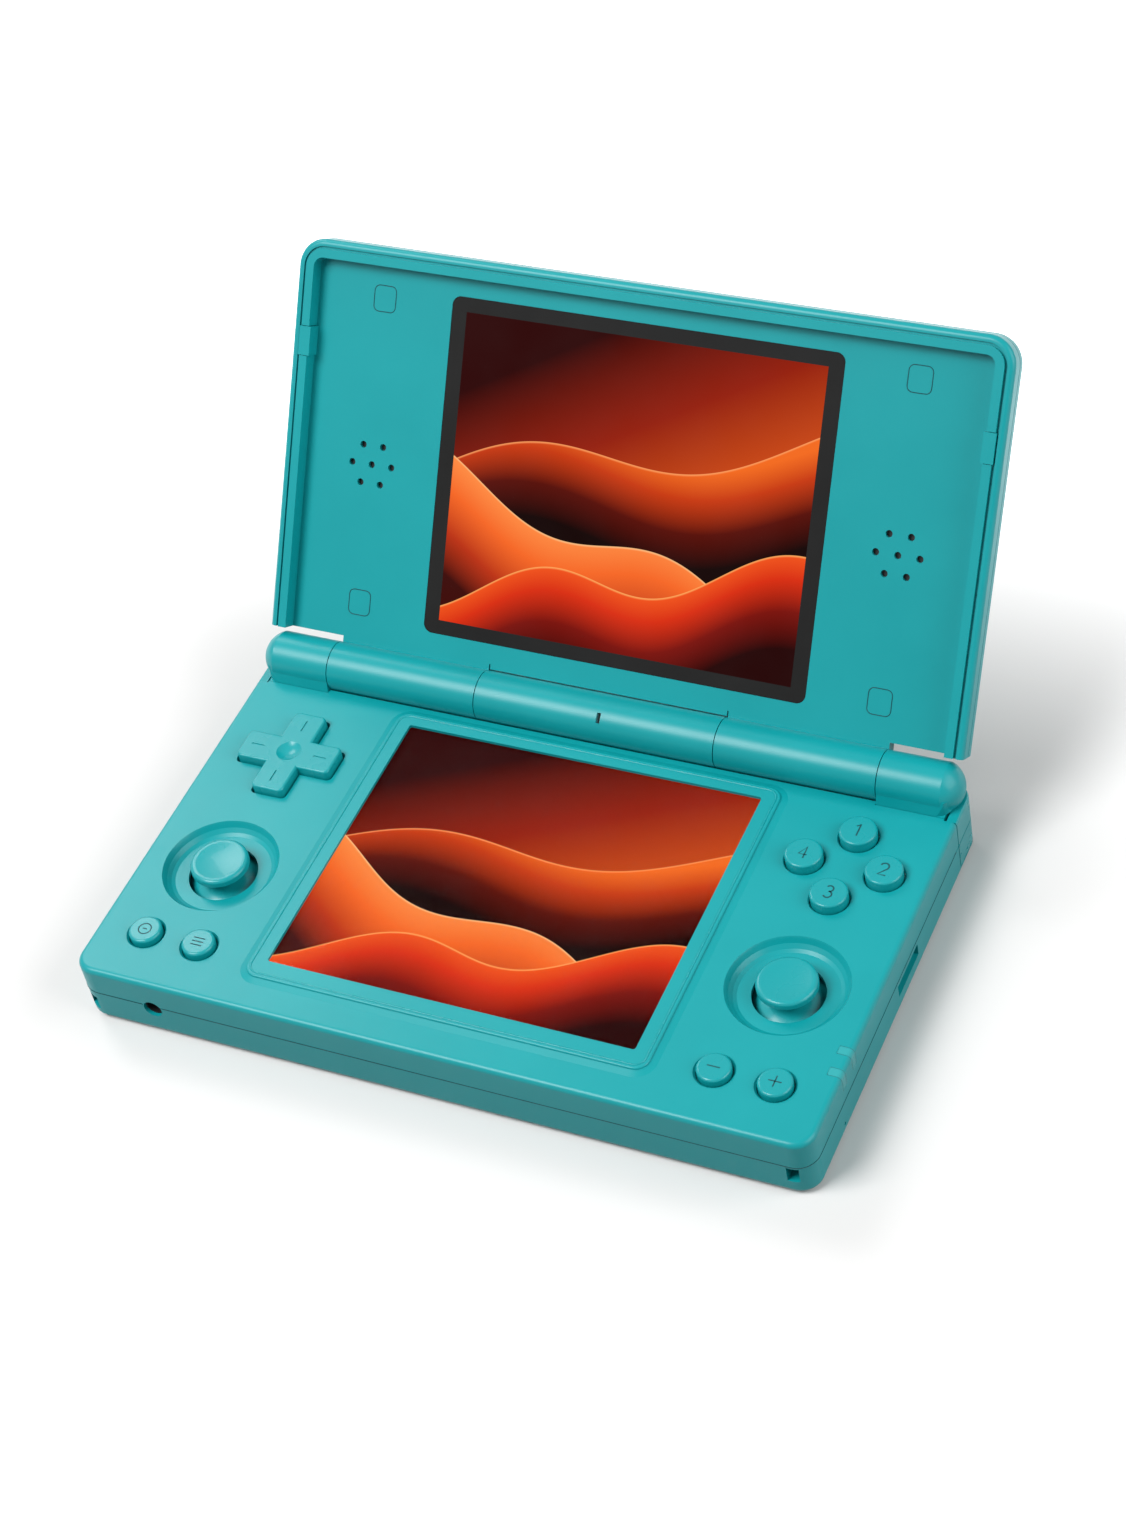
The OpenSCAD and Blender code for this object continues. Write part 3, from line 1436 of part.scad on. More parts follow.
left_stick_yoke();
left_stick_arm();
left_stick_cap();
right_stick_yoke();
right_stick_arm();
right_stick_cap();
left_upper_shoulder_button();
left_lower_shoulder_button();
right_upper_shoulder_button();
right_lower_shoulder_button();
power_button();
volume_rocker();
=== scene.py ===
import json
import math

import bpy
from mathutils import Matrix, Vector


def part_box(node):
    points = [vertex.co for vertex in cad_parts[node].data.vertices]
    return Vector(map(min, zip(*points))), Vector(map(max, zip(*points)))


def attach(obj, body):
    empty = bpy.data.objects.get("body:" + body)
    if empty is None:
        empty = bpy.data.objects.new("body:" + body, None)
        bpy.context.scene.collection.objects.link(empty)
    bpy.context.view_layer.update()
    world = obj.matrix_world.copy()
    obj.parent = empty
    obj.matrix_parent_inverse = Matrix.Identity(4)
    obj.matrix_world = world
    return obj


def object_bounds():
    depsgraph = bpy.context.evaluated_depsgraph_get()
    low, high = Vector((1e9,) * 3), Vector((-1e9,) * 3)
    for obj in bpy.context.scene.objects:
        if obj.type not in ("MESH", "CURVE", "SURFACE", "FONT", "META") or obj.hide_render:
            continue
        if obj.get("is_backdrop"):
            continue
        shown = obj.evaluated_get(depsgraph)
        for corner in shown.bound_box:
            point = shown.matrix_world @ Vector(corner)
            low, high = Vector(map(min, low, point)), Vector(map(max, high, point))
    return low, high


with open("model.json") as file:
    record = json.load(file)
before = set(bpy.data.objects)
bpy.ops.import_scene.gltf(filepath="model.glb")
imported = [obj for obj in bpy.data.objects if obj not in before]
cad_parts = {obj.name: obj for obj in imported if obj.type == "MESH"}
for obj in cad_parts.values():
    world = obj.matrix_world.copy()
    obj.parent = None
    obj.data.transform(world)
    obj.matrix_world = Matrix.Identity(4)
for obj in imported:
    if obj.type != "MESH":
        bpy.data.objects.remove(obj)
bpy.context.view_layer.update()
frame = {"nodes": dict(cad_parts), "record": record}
NODES = frame["nodes"]
MM = 0.001

# Sizes shared with the part, in millimetres
HALF_W, HALF_D, BASE_H = 80.4, 48.0, 15.5
CORNER = 4.5
SEAM_Z = 8.5
JACK_X, JACK_GAP = -63.0, 2.3
HINGE_Y, HINGE_Z = 43.2, 17.9
PLATE_N = -1.3
OPEN = math.radians(125)
FRAME_TOP = 16.4
FRAME_LOOP = (86.6, 73.8, 2.2, 0, -2.35)
LOWER_C = (0.0, -1.8)
LOWER_W, LOWER_H = 80.8, 68.0
LOWER_Z = 14.975
LOWER_UNDER = 2.0
UPPER_V = 47.0
UPPER_W, UPPER_H = 80.8, 66.0
UPPER_GAP = 0.03
PLAY = (62.8, 19.5)
PLAY_PITCH = 8.5
PLAY_TOP = BASE_H + 2.1
SMALL_TOP = BASE_H + 1.3
CAP_W, CAP_D, CAP_R = 5.12, 5.52, 1.2
CAP_X, CAP_V = 59.7, (80.2, 14.5)
WINDOW_Y = (-24.1, -29.4)
WINDOW_HALF, WINDOW_IN, WINDOW_LOW = 0.95, 77.6, 11.6
EDGE_R = 1.2


def lid_matrix():
    """Local axes of the lid: X, distance from the hinge axis, height towards the picture side."""
    v = Vector((0, -math.cos(OPEN), math.sin(OPEN)))
    n = Vector((0, -math.sin(OPEN), -math.cos(OPEN)))
    m = Matrix.Identity(4)
    m.col[1][:3] = v
    m.col[2][:3] = n
    m.col[3][:3] = Vector((0, HINGE_Y, HINGE_Z)) * MM
    return m


LID = lid_matrix()


# ---------------------------------------------------------------- materials
def new_material(name):
    mat = bpy.data.materials.new(name)
    mat.use_nodes = True
    nt = mat.node_tree
    return mat, nt, nt.nodes["Principled BSDF"]


def noise(nt, scale, detail=2.0, rough=0.5):
    coord = nt.nodes.new("ShaderNodeTexCoord")
    tex = nt.nodes.new("ShaderNodeTexNoise")
    tex.inputs["Scale"].default_value = scale
    tex.inputs["Detail"].default_value = detail
    tex.inputs["Roughness"].default_value = rough
    nt.links.new(coord.outputs["Object"], tex.inputs["Vector"])
    return tex


def ramp(nt, source, stops):
    r = nt.nodes.new("ShaderNodeValToRGB")
    els = r.color_ramp.elements
    while len(els) < len(stops):
        els.new(0.5)
    for e, (pos, col) in zip(els, stops):
        e.position = pos
        e.color = (*col, 1)
    nt.links.new(source, r.inputs["Fac"])
    return r


def tint(nt, bsdf, source, dark, light):
    """Base colour that wanders between two near tones."""
    col = ramp(nt, source, [(0.3, dark), (0.7, light)])
    nt.links.new(col.outputs["Color"], bsdf.inputs["Base Color"])


def gloss(nt, bsdf, source, low, high):
    """Roughness that wanders between two values."""
    span = nt.nodes.new("ShaderNodeMapRange")
    span.inputs["To Min"].default_value = low
    span.inputs["To Max"].default_value = high
    nt.links.new(source, span.inputs["Value"])
    nt.links.new(span.outputs["Result"], bsdf.inputs["Roughness"])


def bump(nt, bsdf, source, strength, distance):
    b = nt.nodes.new("ShaderNodeBump")
    b.inputs["Strength"].default_value = strength
    b.inputs["Distance"].default_value = distance
    nt.links.new(source, b.inputs["Height"])
    nt.links.new(b.outputs["Normal"], bsdf.inputs["Normal"])


def plastic(name, dark, light, rough=(0.30, 0.42), grain=0.012, coat=0.0):
    """Moulded plastic with faint mottling, fine grain and uneven gloss."""
    mat, nt, bsdf = new_material(name)
    tint(nt, bsdf, noise(nt, 45, 3).outputs["Fac"], dark, light)
    gloss(nt, bsdf, noise(nt, 160, 3).outputs["Fac"], *rough)
    bump(nt, bsdf, noise(nt, 5200, 2).outputs["Fac"], grain, 0.00002)
    bsdf.inputs["IOR"].default_value = 1.5
    bsdf.inputs["Specular IOR Level"].default_value = 0.3
    bsdf.inputs["Coat Weight"].default_value = coat
    return mat


def metal(name, dark, light, rough=(0.25, 0.4)):
    """Bright sheet metal with faint clouds."""
    mat, nt, bsdf = new_material(name)
    wide = noise(nt, 300, 4).outputs["Fac"]
    tint(nt, bsdf, wide, dark, light)
    gloss(nt, bsdf, wide, *rough)
    bsdf.inputs["Metallic"].default_value = 1.0
    return mat


TEAL = plastic("case_teal", (0.002, 0.30, 0.325), (0.004, 0.32, 0.345), rough=(0.30, 0.35))
TEAL_KEY = plastic("key_teal", (0.003, 0.305, 0.33), (0.005, 0.325, 0.35),
                   rough=(0.25, 0.30), coat=0.1)
# Dark teal for the inlaid marks on the keys, and for the painted shade lines in the seam and in
# the thin gaps round the light windows and the lid's caps
ENGRAVE_AND_GAP_SHADE = plastic("engraved_and_gap_shade", (0.001, 0.06, 0.07), (0.002, 0.075, 0.085), rough=(0.5, 0.6))
DARK = plastic("dark_plastic", (0.012, 0.012, 0.013), (0.02, 0.02, 0.022), rough=(0.35, 0.5))
RUBBER = plastic("rubber_grey", (0.05, 0.052, 0.055), (0.07, 0.072, 0.075), rough=(0.7, 0.85))
BOARD = plastic("board_green", (0.005, 0.08, 0.03), (0.01, 0.12, 0.05), rough=(0.35, 0.5))
CELL = plastic("cell_wrap", (0.03, 0.033, 0.045), (0.045, 0.05, 0.065), rough=(0.4, 0.5))
WINDOW = plastic("window_tint", (0.02, 0.34, 0.36), (0.03, 0.38, 0.4), rough=(0.12, 0.2))
RIBBON = plastic("ribbon_film", (0.5, 0.2, 0.03), (0.6, 0.26, 0.05), rough=(0.25, 0.35))
STEEL = metal("steel", (0.45, 0.46, 0.48), (0.6, 0.61, 0.63))


def black_glass():
    """Black border round the upper picture."""
    mat, nt, bsdf = new_material("bezel_black")
    tint(nt, bsdf, noise(nt, 60, 3).outputs["Fac"], (0.010, 0.010, 0.010), (0.014, 0.014, 0.014))
    bsdf.inputs["Roughness"].default_value = 0.3
    bsdf.inputs["Specular IOR Level"].default_value = 0.12
    return mat


def picture(name):
    """Generic lit picture: dark hills with glowing ridges under a warm sky."""
    mat, nt, bsdf = new_material(name)
    coord = nt.nodes.new("ShaderNodeTexCoord")
    sep = nt.nodes.new("ShaderNodeSeparateXYZ")
    nt.links.new(coord.outputs["UV"], sep.inputs["Vector"])
    u, v = sep.outputs["X"], sep.outputs["Y"]

    def calc(op, a, b=None):
        m = nt.nodes.new("ShaderNodeMath")
        m.operation = op
        for i, x in enumerate((a, b)):
            if isinstance(x, (int, float)):
                m.inputs[i].default_value = x
            elif x is not None:
                nt.links.new(x, m.inputs[i])
        return m.outputs[0]

    def plane(du, dv, c):
        return calc("ADD", calc("ADD", calc("MULTIPLY", u, du), calc("MULTIPLY", v, dv)), c)

    def blend(factor, low, high):
        clamp = nt.nodes.new("ShaderNodeClamp")
        nt.links.new(factor, clamp.inputs["Value"])
        mix = nt.nodes.new("ShaderNodeMix")
        mix.data_type = "RGBA"
        nt.links.new(clamp.outputs["Result"], mix.inputs["Factor"])
        nt.links.new(low, mix.inputs[6])
        if isinstance(high, tuple):
            mix.inputs[7].default_value = (*high, 1)
        else:
            nt.links.new(high, mix.inputs[7])
        return mix.outputs[2]

    sky = ramp(nt, plane(-0.55, 0.85, 0.22),
               [(0.0, (0.80, 0.17, 0.02)), (0.25, (0.66, 0.08, 0.009)),
                (0.55, (0.30, 0.015, 0.004)), (0.85, (0.03, 0.002, 0.002))])
    colour = sky.outputs["Color"]
    for rise, slope, amp, freq, phase, grad, stops, edge in HILLS:
        wave = calc("SINE", calc("ADD", calc("MULTIPLY", u, freq), phase))
        height = calc("ADD", plane(slope, 0.0, rise), calc("MULTIPLY", wave, amp))
        depth = calc("SUBTRACT", height, v)
        down, across, start = grad
        place = calc("ADD", calc("MULTIPLY", depth, down), plane(across, 0.0, start))
        fill = ramp(nt, place, stops)
        rim = calc("SUBTRACT", 1.0, calc("MULTIPLY", depth, RIM_FALL))
        lit = blend(rim, fill.outputs["Color"], edge)
        inside = calc("MULTIPLY", calc("ADD", depth, RIM_REACH), RIM_SHARP)
        colour = blend(inside, colour, lit)
    nt.links.new(colour, bsdf.inputs["Emission Color"])
    bsdf.inputs["Emission Strength"].default_value = 1.0
    tint(nt, bsdf, noise(nt, 80, 2).outputs["Fac"], (0.002, 0.002, 0.002), (0.004, 0.004, 0.004))
    bsdf.inputs["Roughness"].default_value = 0.3
    bsdf.inputs["Specular IOR Level"].default_value = 0.0
    return mat


# How fast a ridge's glow fades, how far it reaches past the hill, how sharp its outer edge is
RIM_FALL, RIM_REACH, RIM_SHARP = 150.0, 0.0015, 600.0
# Ridge height, slope, wave's height, frequency and phase, then how the fill runs with depth and
# across and where it starts, its colours and the colour of its rim
HILLS = [
    (0.50, 0.26, 0.07, 6.2, 0.4, (2.3, -0.30, 0.22),
     [(0.0, (0.90, 0.15, 0.015)), (0.2, (0.58, 0.045, 0.006)), (0.45, (0.10, 0.005, 0.002)),
      (0.7, (0.008, 0.0012, 0.001))], (1.0, 0.36, 0.12)),
    (0.50, -0.36, 0.06, 8.5, 2.4, (2.6, 0.15, 0.0),
     [(0.0, (1.0, 0.27, 0.06)), (0.3, (0.92, 0.14, 0.02)), (0.65, (0.50, 0.035, 0.008)),
      (1.0, (0.05, 0.003, 0.002))], (1.0, 0.55, 0.24)),
    (0.10, 0.26, 0.06, 9.5, 5.2, (3.4, 0.0, 0.0),
     [(0.0, (0.88, 0.09, 0.012)), (0.25, (0.70, 0.03, 0.006)), (0.6, (0.20, 0.006, 0.003)),
      (1.0, (0.02, 0.001, 0.001))], (1.0, 0.42, 0.12)),
]

PICTURE = picture("lit_picture")


def screen_glass():
    """Clear touch glass over the lower picture."""
    mat, nt, bsdf = new_material("touch_glass")
    gloss(nt, bsdf, noise(nt, 200, 2).outputs["Fac"], 0.02, 0.05)
    bsdf.inputs["Base Color"].default_value = (1, 1, 1, 1)
    bsdf.inputs["Transmission Weight"].default_value = 1.0
    bsdf.inputs["IOR"].default_value = 1.03
    return mat


MATS = {
    "case": TEAL, "board": BOARD, "cell": CELL, "black_plastic": DARK, "rubber": RUBBER,
    "steel": STEEL, "window": WINDOW, "ribbon": RIBBON, "display": DARK,
    "black_glass": black_glass(), "screen_glass": screen_glass(),
}
KEYS = ("button", "pad", "cap", "rocker")
slot_of = {s["node"]: s["material_slot"] for s in frame["record"]["subparts"]}

for name, node in NODES.items():
    is_key = any(k in name for k in KEYS) and "screw" not in name
    node.data.materials.clear()
    node.data.materials.append(TEAL_KEY if slot_of[name] == "case" and is_key
                               else MATS[slot_of[name]])


# ---------------------------------------------------------------- pieces
def mesh_piece(name, verts, faces, mat, body, slot, matrix=None, smooth=True, uvs=None):
    """A mesh given in millimetres, which rides on a body."""
    me = bpy.data.meshes.new(name)
    pts = [Vector(p) * MM for p in verts]
    if matrix is not None:
        pts = [matrix @ p for p in pts]
    me.from_pydata(pts, [], faces)
    if uvs is not None:
        layer = me.uv_layers.new(name="UVMap")
        for poly in me.polygons:
            for li in poly.loop_indices:
                layer.data[li].uv = uvs[me.loops[li].vertex_index]
    me.validate()
    for p in me.polygons:
        p.use_smooth = smooth
    o = bpy.data.objects.new(name, me)
    bpy.context.scene.collection.objects.link(o)
    o.data.materials.append(mat)
    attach(o, body)


def picture_plane(name, w, h, centre, z, body, matrix=None, nx=24, ny=20):
    """The lit picture on a flat grid."""
    cx, cy = centre
    verts, uvs, faces = [], [], []
    for j in range(ny + 1):
        for i in range(nx + 1):
            u, v = i / nx, j / ny
            verts.append((cx + (u - 0.5) * w, cy + (v - 0.5) * h, z))
            uvs.append((u, v))
    for j in range(ny):
        for i in range(nx):
            a = j * (nx + 1) + i
            faces.append((a, a + 1, a + nx + 2, a + nx + 1))
    mesh_piece(name, verts, faces, PICTURE, body, "display", matrix, smooth=False, uvs=uvs)


picture_plane("lower_picture", LOWER_W + LOWER_UNDER, LOWER_H + LOWER_UNDER, LOWER_C, LOWER_Z,
              "base")
picture_plane("upper_picture", UPPER_W, UPPER_H, (0, UPPER_V), PLATE_N - UPPER_GAP, "lid", LID)


def strip(points, half, top, bottom):
    """A flat bar along points (2-D, in millimetres): closed solid between two heights."""
    verts, faces = [], []
    n = len(points)
    for i, p in enumerate(points):
        a = Vector(points[max(i - 1, 0)])
        b = Vector(points[min(i + 1, n - 1)])
        d = (b - a).normalized()
        side = Vector((-d.y, d.x)) * half
        q = Vector(p)
        for s, z in ((1, top), (-1, top), (-1, bottom), (1, bottom)):
            verts.append((q.x + side.x * s, q.y + side.y * s, z))
    for i in range(n - 1):
        k = i * 4
        for j in range(4):
            faces.append((k + j, k + (j + 1) % 4, k + 4 + (j + 1) % 4, k + 4 + j))
    faces.append((3, 2, 1, 0))
    k = (n - 1) * 4
    faces.append((k, k + 1, k + 2, k + 3))
    return verts, faces


def join_parts(parts):
    """Several solids as one mesh."""
    verts, faces = [], []
    for v, f in parts:
        base = len(verts)
        verts += v
        faces += [tuple(i + base for i in face) for face in f]
    return verts, faces


def arc(cx, cy, r, a0, a1, n):
    """Points along an arc, with angles in degrees."""
    return [(cx + r * math.cos(math.radians(a0 + (a1 - a0) * i / n)),
             cy + r * math.sin(math.radians(a0 + (a1 - a0) * i / n))) for i in range(n + 1)]


def mark(name, lines, top, node, half=0.17):
    """Thin inlaid lines on a key's face."""
    parts = [strip(pts, half, top + MARK_RISE, top - MARK_DEPTH) for pts in lines]
    mesh_piece(name, *join_parts(parts), ENGRAVE_AND_GAP_SHADE, node, "case", smooth=False)


def digit(d, cx, cy, h=3.1):
    """Plain one-line figures, drawn as strokes."""
    w = h * 0.56
    x0, x1, y0, y1 = cx - w / 2, cx + w / 2, cy - h / 2, cy + h / 2
    if d == 1:
        return [[(cx - w * 0.3, y1 - h * 0.2), (cx + w * 0.1, y1), (cx + w * 0.1, y0)]]
    if d == 2:
        top = arc(cx, y1 - w / 2, w / 2, 165, -40, 12)
        return [top + [(x0, y0), (x1, y0)]]
    if d == 3:
        r1, r2 = h * 0.24, h * 0.27
        return [arc(cx, y1 - r1, r1, 150, -90, 12), arc(cx, y0 + r2, r2, 90, -150, 12)]
    return [[(x1, cy - h * 0.18), (x0, cy - h * 0.18), (cx + w * 0.22, y1), (cx + w * 0.22, y0)]]


MARK_RISE, MARK_DEPTH = 0.012, 0.1
SMALL_MARK, MARK_HALF = 1.35, 0.14
px, py = PLAY
for d, node, (cx, cy) in (
    (1, "play_button_rear", (px, py + PLAY_PITCH)),
    (2, "play_button_right", (px + PLAY_PITCH, py)),
    (3, "play_button_front", (px, py - PLAY_PITCH)),
    (4, "play_button_left", (px - PLAY_PITCH, py)),
):
    mark(f"figure_{d}", digit(d, cx, cy), PLAY_TOP, node)



def level(x, y, half):
    """A stroke from left to right."""
    return [(x - half, y), (x + half, y)]


ICONS = {
    "left_outer": lambda x, y: [arc(x, y, SMALL_MARK, 0, 360, 28), level(x, y, 0.5)],
    "left_inner": lambda x, y: [level(x, y + dy, 1.3) for dy in (-0.9, 0, 0.9)],
    "right_inner": lambda x, y: [level(x, y, SMALL_MARK)],
    "right_outer": lambda x, y: [level(x, y, SMALL_MARK),
                                 [(x, y - SMALL_MARK), (x, y + SMALL_MARK)]],
}
for place, draw in ICONS.items():
    lo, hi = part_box("small_button_" + place)
    cx, cy = (lo.x + hi.x) / 2 / MM, (lo.y + hi.y) / 2 / MM
    mark("mark_" + place, draw(cx, cy), SMALL_TOP, "small_button_" + place, half=MARK_HALF)


def round_loop(w, d, r, cx, cy, n=8):
    """Closed loop of a rounded rectangle."""
    pts = []
    for sx, sy, a in ((1, 1, 0), (-1, 1, 90), (-1, -1, 180), (1, -1, 270)):
        pts += arc(cx + sx * (w / 2 - r), cy + sy * (d / 2 - r), r, a, a + 90, n)
    return pts


def ring_tube(name, loop, z, radius, mat, body, matrix=None, sides=8):
    """A thin round bead along a closed loop."""
    verts, faces = [], []
    n = len(loop)
    for i, p in enumerate(loop):
        a, b = Vector(loop[i - 1]), Vector(loop[(i + 1) % n])
        d = (b - a).normalized()
        side = Vector((d.y, -d.x))
        for j in range(sides):
            t = 2 * math.pi * j / sides
            q = Vector(p) + side * radius * math.cos(t)
            verts.append((q.x, q.y, z + radius * math.sin(t)))
    for i in range(n):
        k, k2 = i * sides, ((i + 1) % n) * sides
        for j in range(sides):
            faces.append((k + j, k2 + j, k2 + (j + 1) % sides, k + (j + 1) % sides))
    mesh_piece(name, verts, faces, mat, body, "case", matrix)


def line_tube(name, path, radius, sides=6):
    """A thin round line along an open path of 3-D points."""
    verts, faces = [], []
    pts = [Vector(p) for p in path]
    for i, p in enumerate(pts):
        d = (pts[min(i + 1, len(pts) - 1)] - pts[max(i - 1, 0)]).normalized()
        ref = Vector((0, 1, 0)) if abs(d.y) < 0.8 else Vector((0, 0, 1))
        a = d.cross(ref).normalized()
        b = d.cross(a)
        for j in range(sides):
            t = 2 * math.pi * j / sides
            q = p + (a * math.cos(t) + b * math.sin(t)) * radius
            verts.append(tuple(q))
    for i in range(len(pts) - 1):
        for j in range(sides):
            faces.append((i * sides + j, i * sides + (j + 1) % sides,
                          (i + 1) * sides + (j + 1) % sides, (i + 1) * sides + j))
    faces.append(tuple(range(sides))[::-1])
    faces.append(tuple((len(pts) - 1) * sides + j for j in range(sides)))
    mesh_piece(name, verts, faces, ENGRAVE_AND_GAP_SHADE, "base", "case")


# Bead round the lower screen's frame
BEAD_R, BEAD_SUNK = 0.2, 0.02
ring_tube("frame_bead", round_loop(*FRAME_LOOP), FRAME_TOP - BEAD_SUNK, BEAD_R, TEAL_KEY, "base")

# Shadow line in the seam between the two shells, left open at the headphone socket
SEAM_R, SEAM_ENDS = 0.09, (34, 35)
cx, cy = HALF_W - CORNER, CORNER - HALF_D
left_turn = [(x, y, SEAM_Z) for x, y in arc(-cx, cy, CORNER, 180, 270, 9)]
right_turn = [(x, y, SEAM_Z) for x, y in arc(cx, cy, CORNER, -90, 0, 9)]
line_tube("seam_line_left", [(-HALF_W, SEAM_ENDS[0], SEAM_Z), *left_turn,
                             (JACK_X - JACK_GAP, -HALF_D, SEAM_Z)], SEAM_R)
line_tube("seam_line_right", [(JACK_X + JACK_GAP, -HALF_D, SEAM_Z), *right_turn,
                              (HALF_W, SEAM_ENDS[1], SEAM_Z)], SEAM_R)

# Painted shade in the thin gaps round the two light windows: dark outlines over the right edge
OUTLINE_R, SUNK = 0.125, 0.1
over = arc(HALF_W - EDGE_R, BASE_H - EDGE_R, EDGE_R - SUNK, 90, 0, 6)
run = [(WINDOW_IN, BASE_H - SUNK), *over, (HALF_W - SUNK, WINDOW_LOW)]
for k, y in enumerate(WINDOW_Y):
    front, rear = y - WINDOW_HALF, y + WINDOW_HALF
    path = [(x, front, z) for x, z in run] + [(x, rear, z) for x, z in reversed(run)]
    path.append((WINDOW_IN, front, BASE_H - SUNK))
    line_tube(f"window_gap_shade_{k + 1}", path, OUTLINE_R)

# Painted shade in the thin gaps round the four caps over the lid's screws: dark outlines
CAP_LINE_R = 0.1
caps = [(side * CAP_X, v) for v in CAP_V for side in (-1, 1)]
for k, (x, v) in enumerate(caps):
    ring_tube(f"cap_gap_shade_{k + 1}", round_loop(CAP_W, CAP_D, CAP_R, x, v, 5), PLATE_N,
              CAP_LINE_R, ENGRAVE_AND_GAP_SHADE, "lid", LID, sides=6)

# ---------------------------------------------------------------- camera
# Fitted to the photograph: angles, distance and target in mm, focal length in photo pixels
CAM_AZ, CAM_EL, CAM_ROLL = map(math.radians, (32.727, 45.409, -12.836))
CAM_DIST, CAM_F = 533.927, 3212.555
CAM_T = Vector((48.319, -50.795, 112.744))
PHOTO_H, SENSOR_H = 1536, 36
back = Vector((math.sin(CAM_AZ) * math.cos(CAM_EL), -math.cos(CAM_AZ) * math.cos(CAM_EL),
               math.sin(CAM_EL)))
r0 = Vector((math.cos(CAM_AZ), math.sin(CAM_AZ), 0))
u0 = back.cross(r0)
right = r0 * math.cos(CAM_ROLL) + u0 * math.sin(CAM_ROLL)
upv = -r0 * math.sin(CAM_ROLL) + u0 * math.cos(CAM_ROLL)
cam_data = bpy.data.cameras.new("camera")
cam_data.sensor_fit = "VERTICAL"
cam_data.sensor_height = SENSOR_H
cam_data.lens = CAM_F * SENSOR_H / PHOTO_H
cam_data.clip_start = 0.01
cam_data.clip_end = 20
cam = bpy.data.objects.new("camera", cam_data)
m = Matrix.Identity(4)
m.col[0][:3] = right
m.col[1][:3] = upv
m.col[2][:3] = back
m.col[3][:3] = (CAM_T + back * CAM_DIST) * MM
cam.matrix_world = m
bpy.context.scene.collection.objects.link(cam)
bpy.context.scene.camera = cam

# ---------------------------------------------------------------- floor, light
FLOOR = 6.0
FADE_FROM, FADE_TO = 0.005, 0.13
floor_mesh = bpy.data.meshes.new("floor")
floor_mesh.from_pydata([(-FLOOR, -FLOOR, 0), (FLOOR, -FLOOR, 0), (FLOOR, FLOOR, 0),
                        (-FLOOR, FLOOR, 0)], [], [(0, 1, 2, 3)])
floor = bpy.data.objects.new("floor", floor_mesh)
bpy.context.scene.collection.objects.link(floor)
fmat, fnt, fb = new_material("floor_white")
fn = noise(fnt, 3, 2)
# The camera and reflections see the pale colour; light that the floor sends back is weaker
seen = ramp(fnt, fn.outputs["Fac"], [(0.3, (0.745, 0.74, 0.735)), (0.7, (0.765, 0.76, 0.755))])
lit = ramp(fnt, fn.outputs["Fac"], [(0.3, (0.14, 0.14, 0.14)), (0.7, (0.16, 0.16, 0.16))])
fray = fnt.nodes.new("ShaderNodeLightPath")
fmix = fnt.nodes.new("ShaderNodeMix")
fmix.data_type = "RGBA"
fnt.links.new(fray.outputs["Is Diffuse Ray"], fmix.inputs[0])
fnt.links.new(seen.outputs["Color"], fmix.inputs[6])
fnt.links.new(lit.outputs["Color"], fmix.inputs[7])
fnt.links.new(fmix.outputs[2], fb.inputs["Base Color"])
fb.inputs["Roughness"].default_value = 0.9
fb.inputs["Specular IOR Level"].default_value = 0.1
# Away from the base the floor glows white: painted light that fades it into the white background
# and lightens the console's cast shadow there.
# Diffuse rays don't see the glow, so it throws no light on the console.
fpos = fnt.nodes.new("ShaderNodeTexCoord")
last = fpos.outputs["Object"]
for operation, value in (("ABSOLUTE", None), ("SUBTRACT", (HALF_W * MM, HALF_D * MM, 0)),
                         ("MAXIMUM", (0, 0, 0)), ("LENGTH", None)):
    step = fnt.nodes.new("ShaderNodeVectorMath")
    step.operation = operation
    fnt.links.new(last, step.inputs[0])
    if value is not None:
        step.inputs[1].default_value = value
    last = step.outputs["Value" if operation == "LENGTH" else "Vector"]
fade = fnt.nodes.new("ShaderNodeMapRange")
fade.interpolation_type = "SMOOTHSTEP"
fade.inputs["From Min"].default_value = FADE_FROM
fade.inputs["From Max"].default_value = FADE_TO
fnt.links.new(last, fade.inputs["Value"])
unlit = fnt.nodes.new("ShaderNodeMath")
unlit.operation = "SUBTRACT"
unlit.use_clamp = True
fnt.links.new(fade.outputs["Result"], unlit.inputs[0])
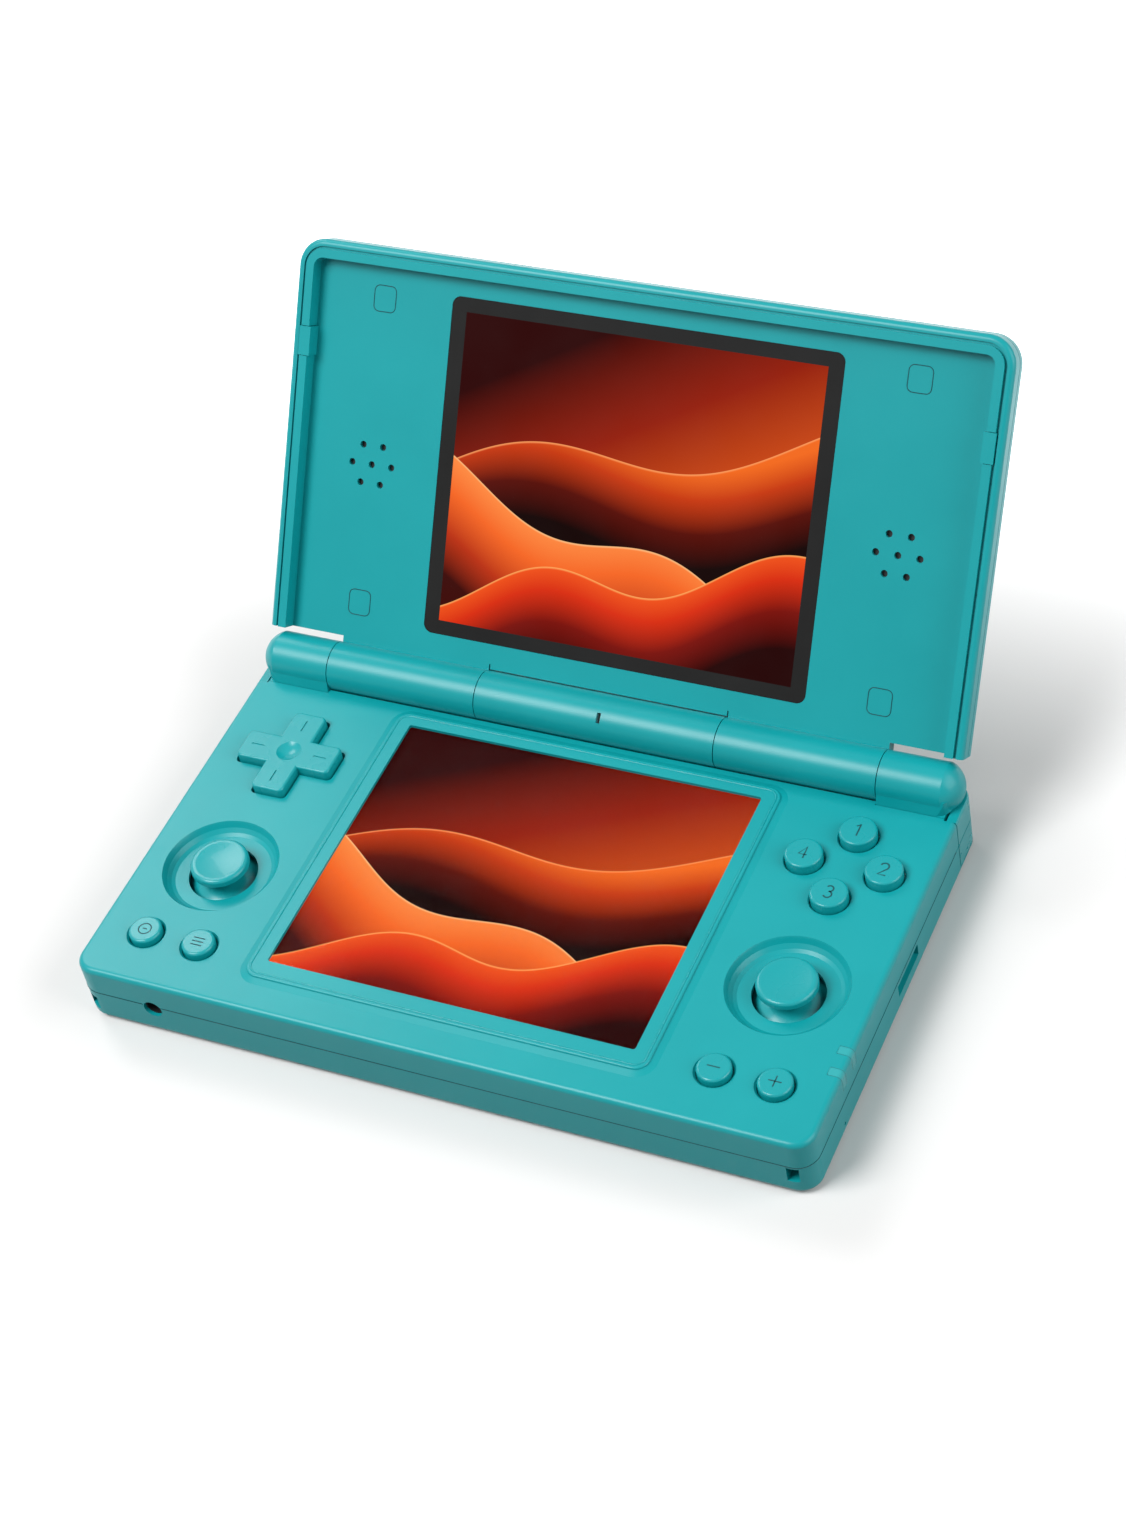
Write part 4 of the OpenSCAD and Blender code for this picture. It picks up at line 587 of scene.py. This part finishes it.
fnt.links.new(fray.outputs["Is Diffuse Ray"], unlit.inputs[1])
fnt.links.new(unlit.outputs["Value"], fb.inputs["Emission Strength"])
fb.inputs["Emission Color"].default_value = (1, 1, 1, 1)
floor.data.materials.append(fmat)
floor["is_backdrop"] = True


def area_light(name, loc, target, size, power):
    """A square soft light that faces a point."""
    d = bpy.data.lights.new(name, "AREA")
    d.energy = power
    d.shape = "RECTANGLE"
    d.size = size
    d.size_y = size
    o = bpy.data.objects.new(name, d)
    loc, target = Vector(loc), Vector(target)
    o.location = loc
    o.rotation_euler = (loc - target).to_track_quat("Z", "Y").to_euler()
    bpy.context.scene.collection.objects.link(o)


area_light("key", (-0.47, -0.52, 1.08), (0, 0, 0.02), 0.6, 16.0)
area_light("rear", (-0.72, 0.50, 0.80), (0, 0, 0.02), 0.36, 3.2)
area_light("side", (0.9, 0.05, 0.55), (0.05, 0, 0.02), 0.8, 7.0)

world = bpy.context.scene.world or bpy.data.worlds.new("world")
bpy.context.scene.world = world
world.use_nodes = True
wn = world.node_tree
wn.nodes.clear()
out = wn.nodes.new("ShaderNodeOutputWorld")
mixw = wn.nodes.new("ShaderNodeMixShader")
lp = wn.nodes.new("ShaderNodeLightPath")
# Weak light all round, and a white background for the camera and for what reflects it
AROUND, WHITE = 0.13, 1.0
for i, strength in ((1, AROUND), (2, WHITE)):
    shade = wn.nodes.new("ShaderNodeBackground")
    shade.inputs["Color"].default_value = (1, 1, 1, 1)
    shade.inputs["Strength"].default_value = strength
    wn.links.new(shade.outputs[0], mixw.inputs[i])
seen_by = lp.outputs["Is Camera Ray"]
for kind in ("Is Glossy Ray", "Is Transmission Ray"):
    either = wn.nodes.new("ShaderNodeMath")
    either.operation = "MAXIMUM"
    wn.links.new(seen_by, either.inputs[0])
    wn.links.new(lp.outputs[kind], either.inputs[1])
    seen_by = either.outputs["Value"]
wn.links.new(seen_by, mixw.inputs["Fac"])
wn.links.new(mixw.outputs[0], out.inputs["Surface"])

bpy.context.scene.view_settings.view_transform = "Standard"

lo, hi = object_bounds()
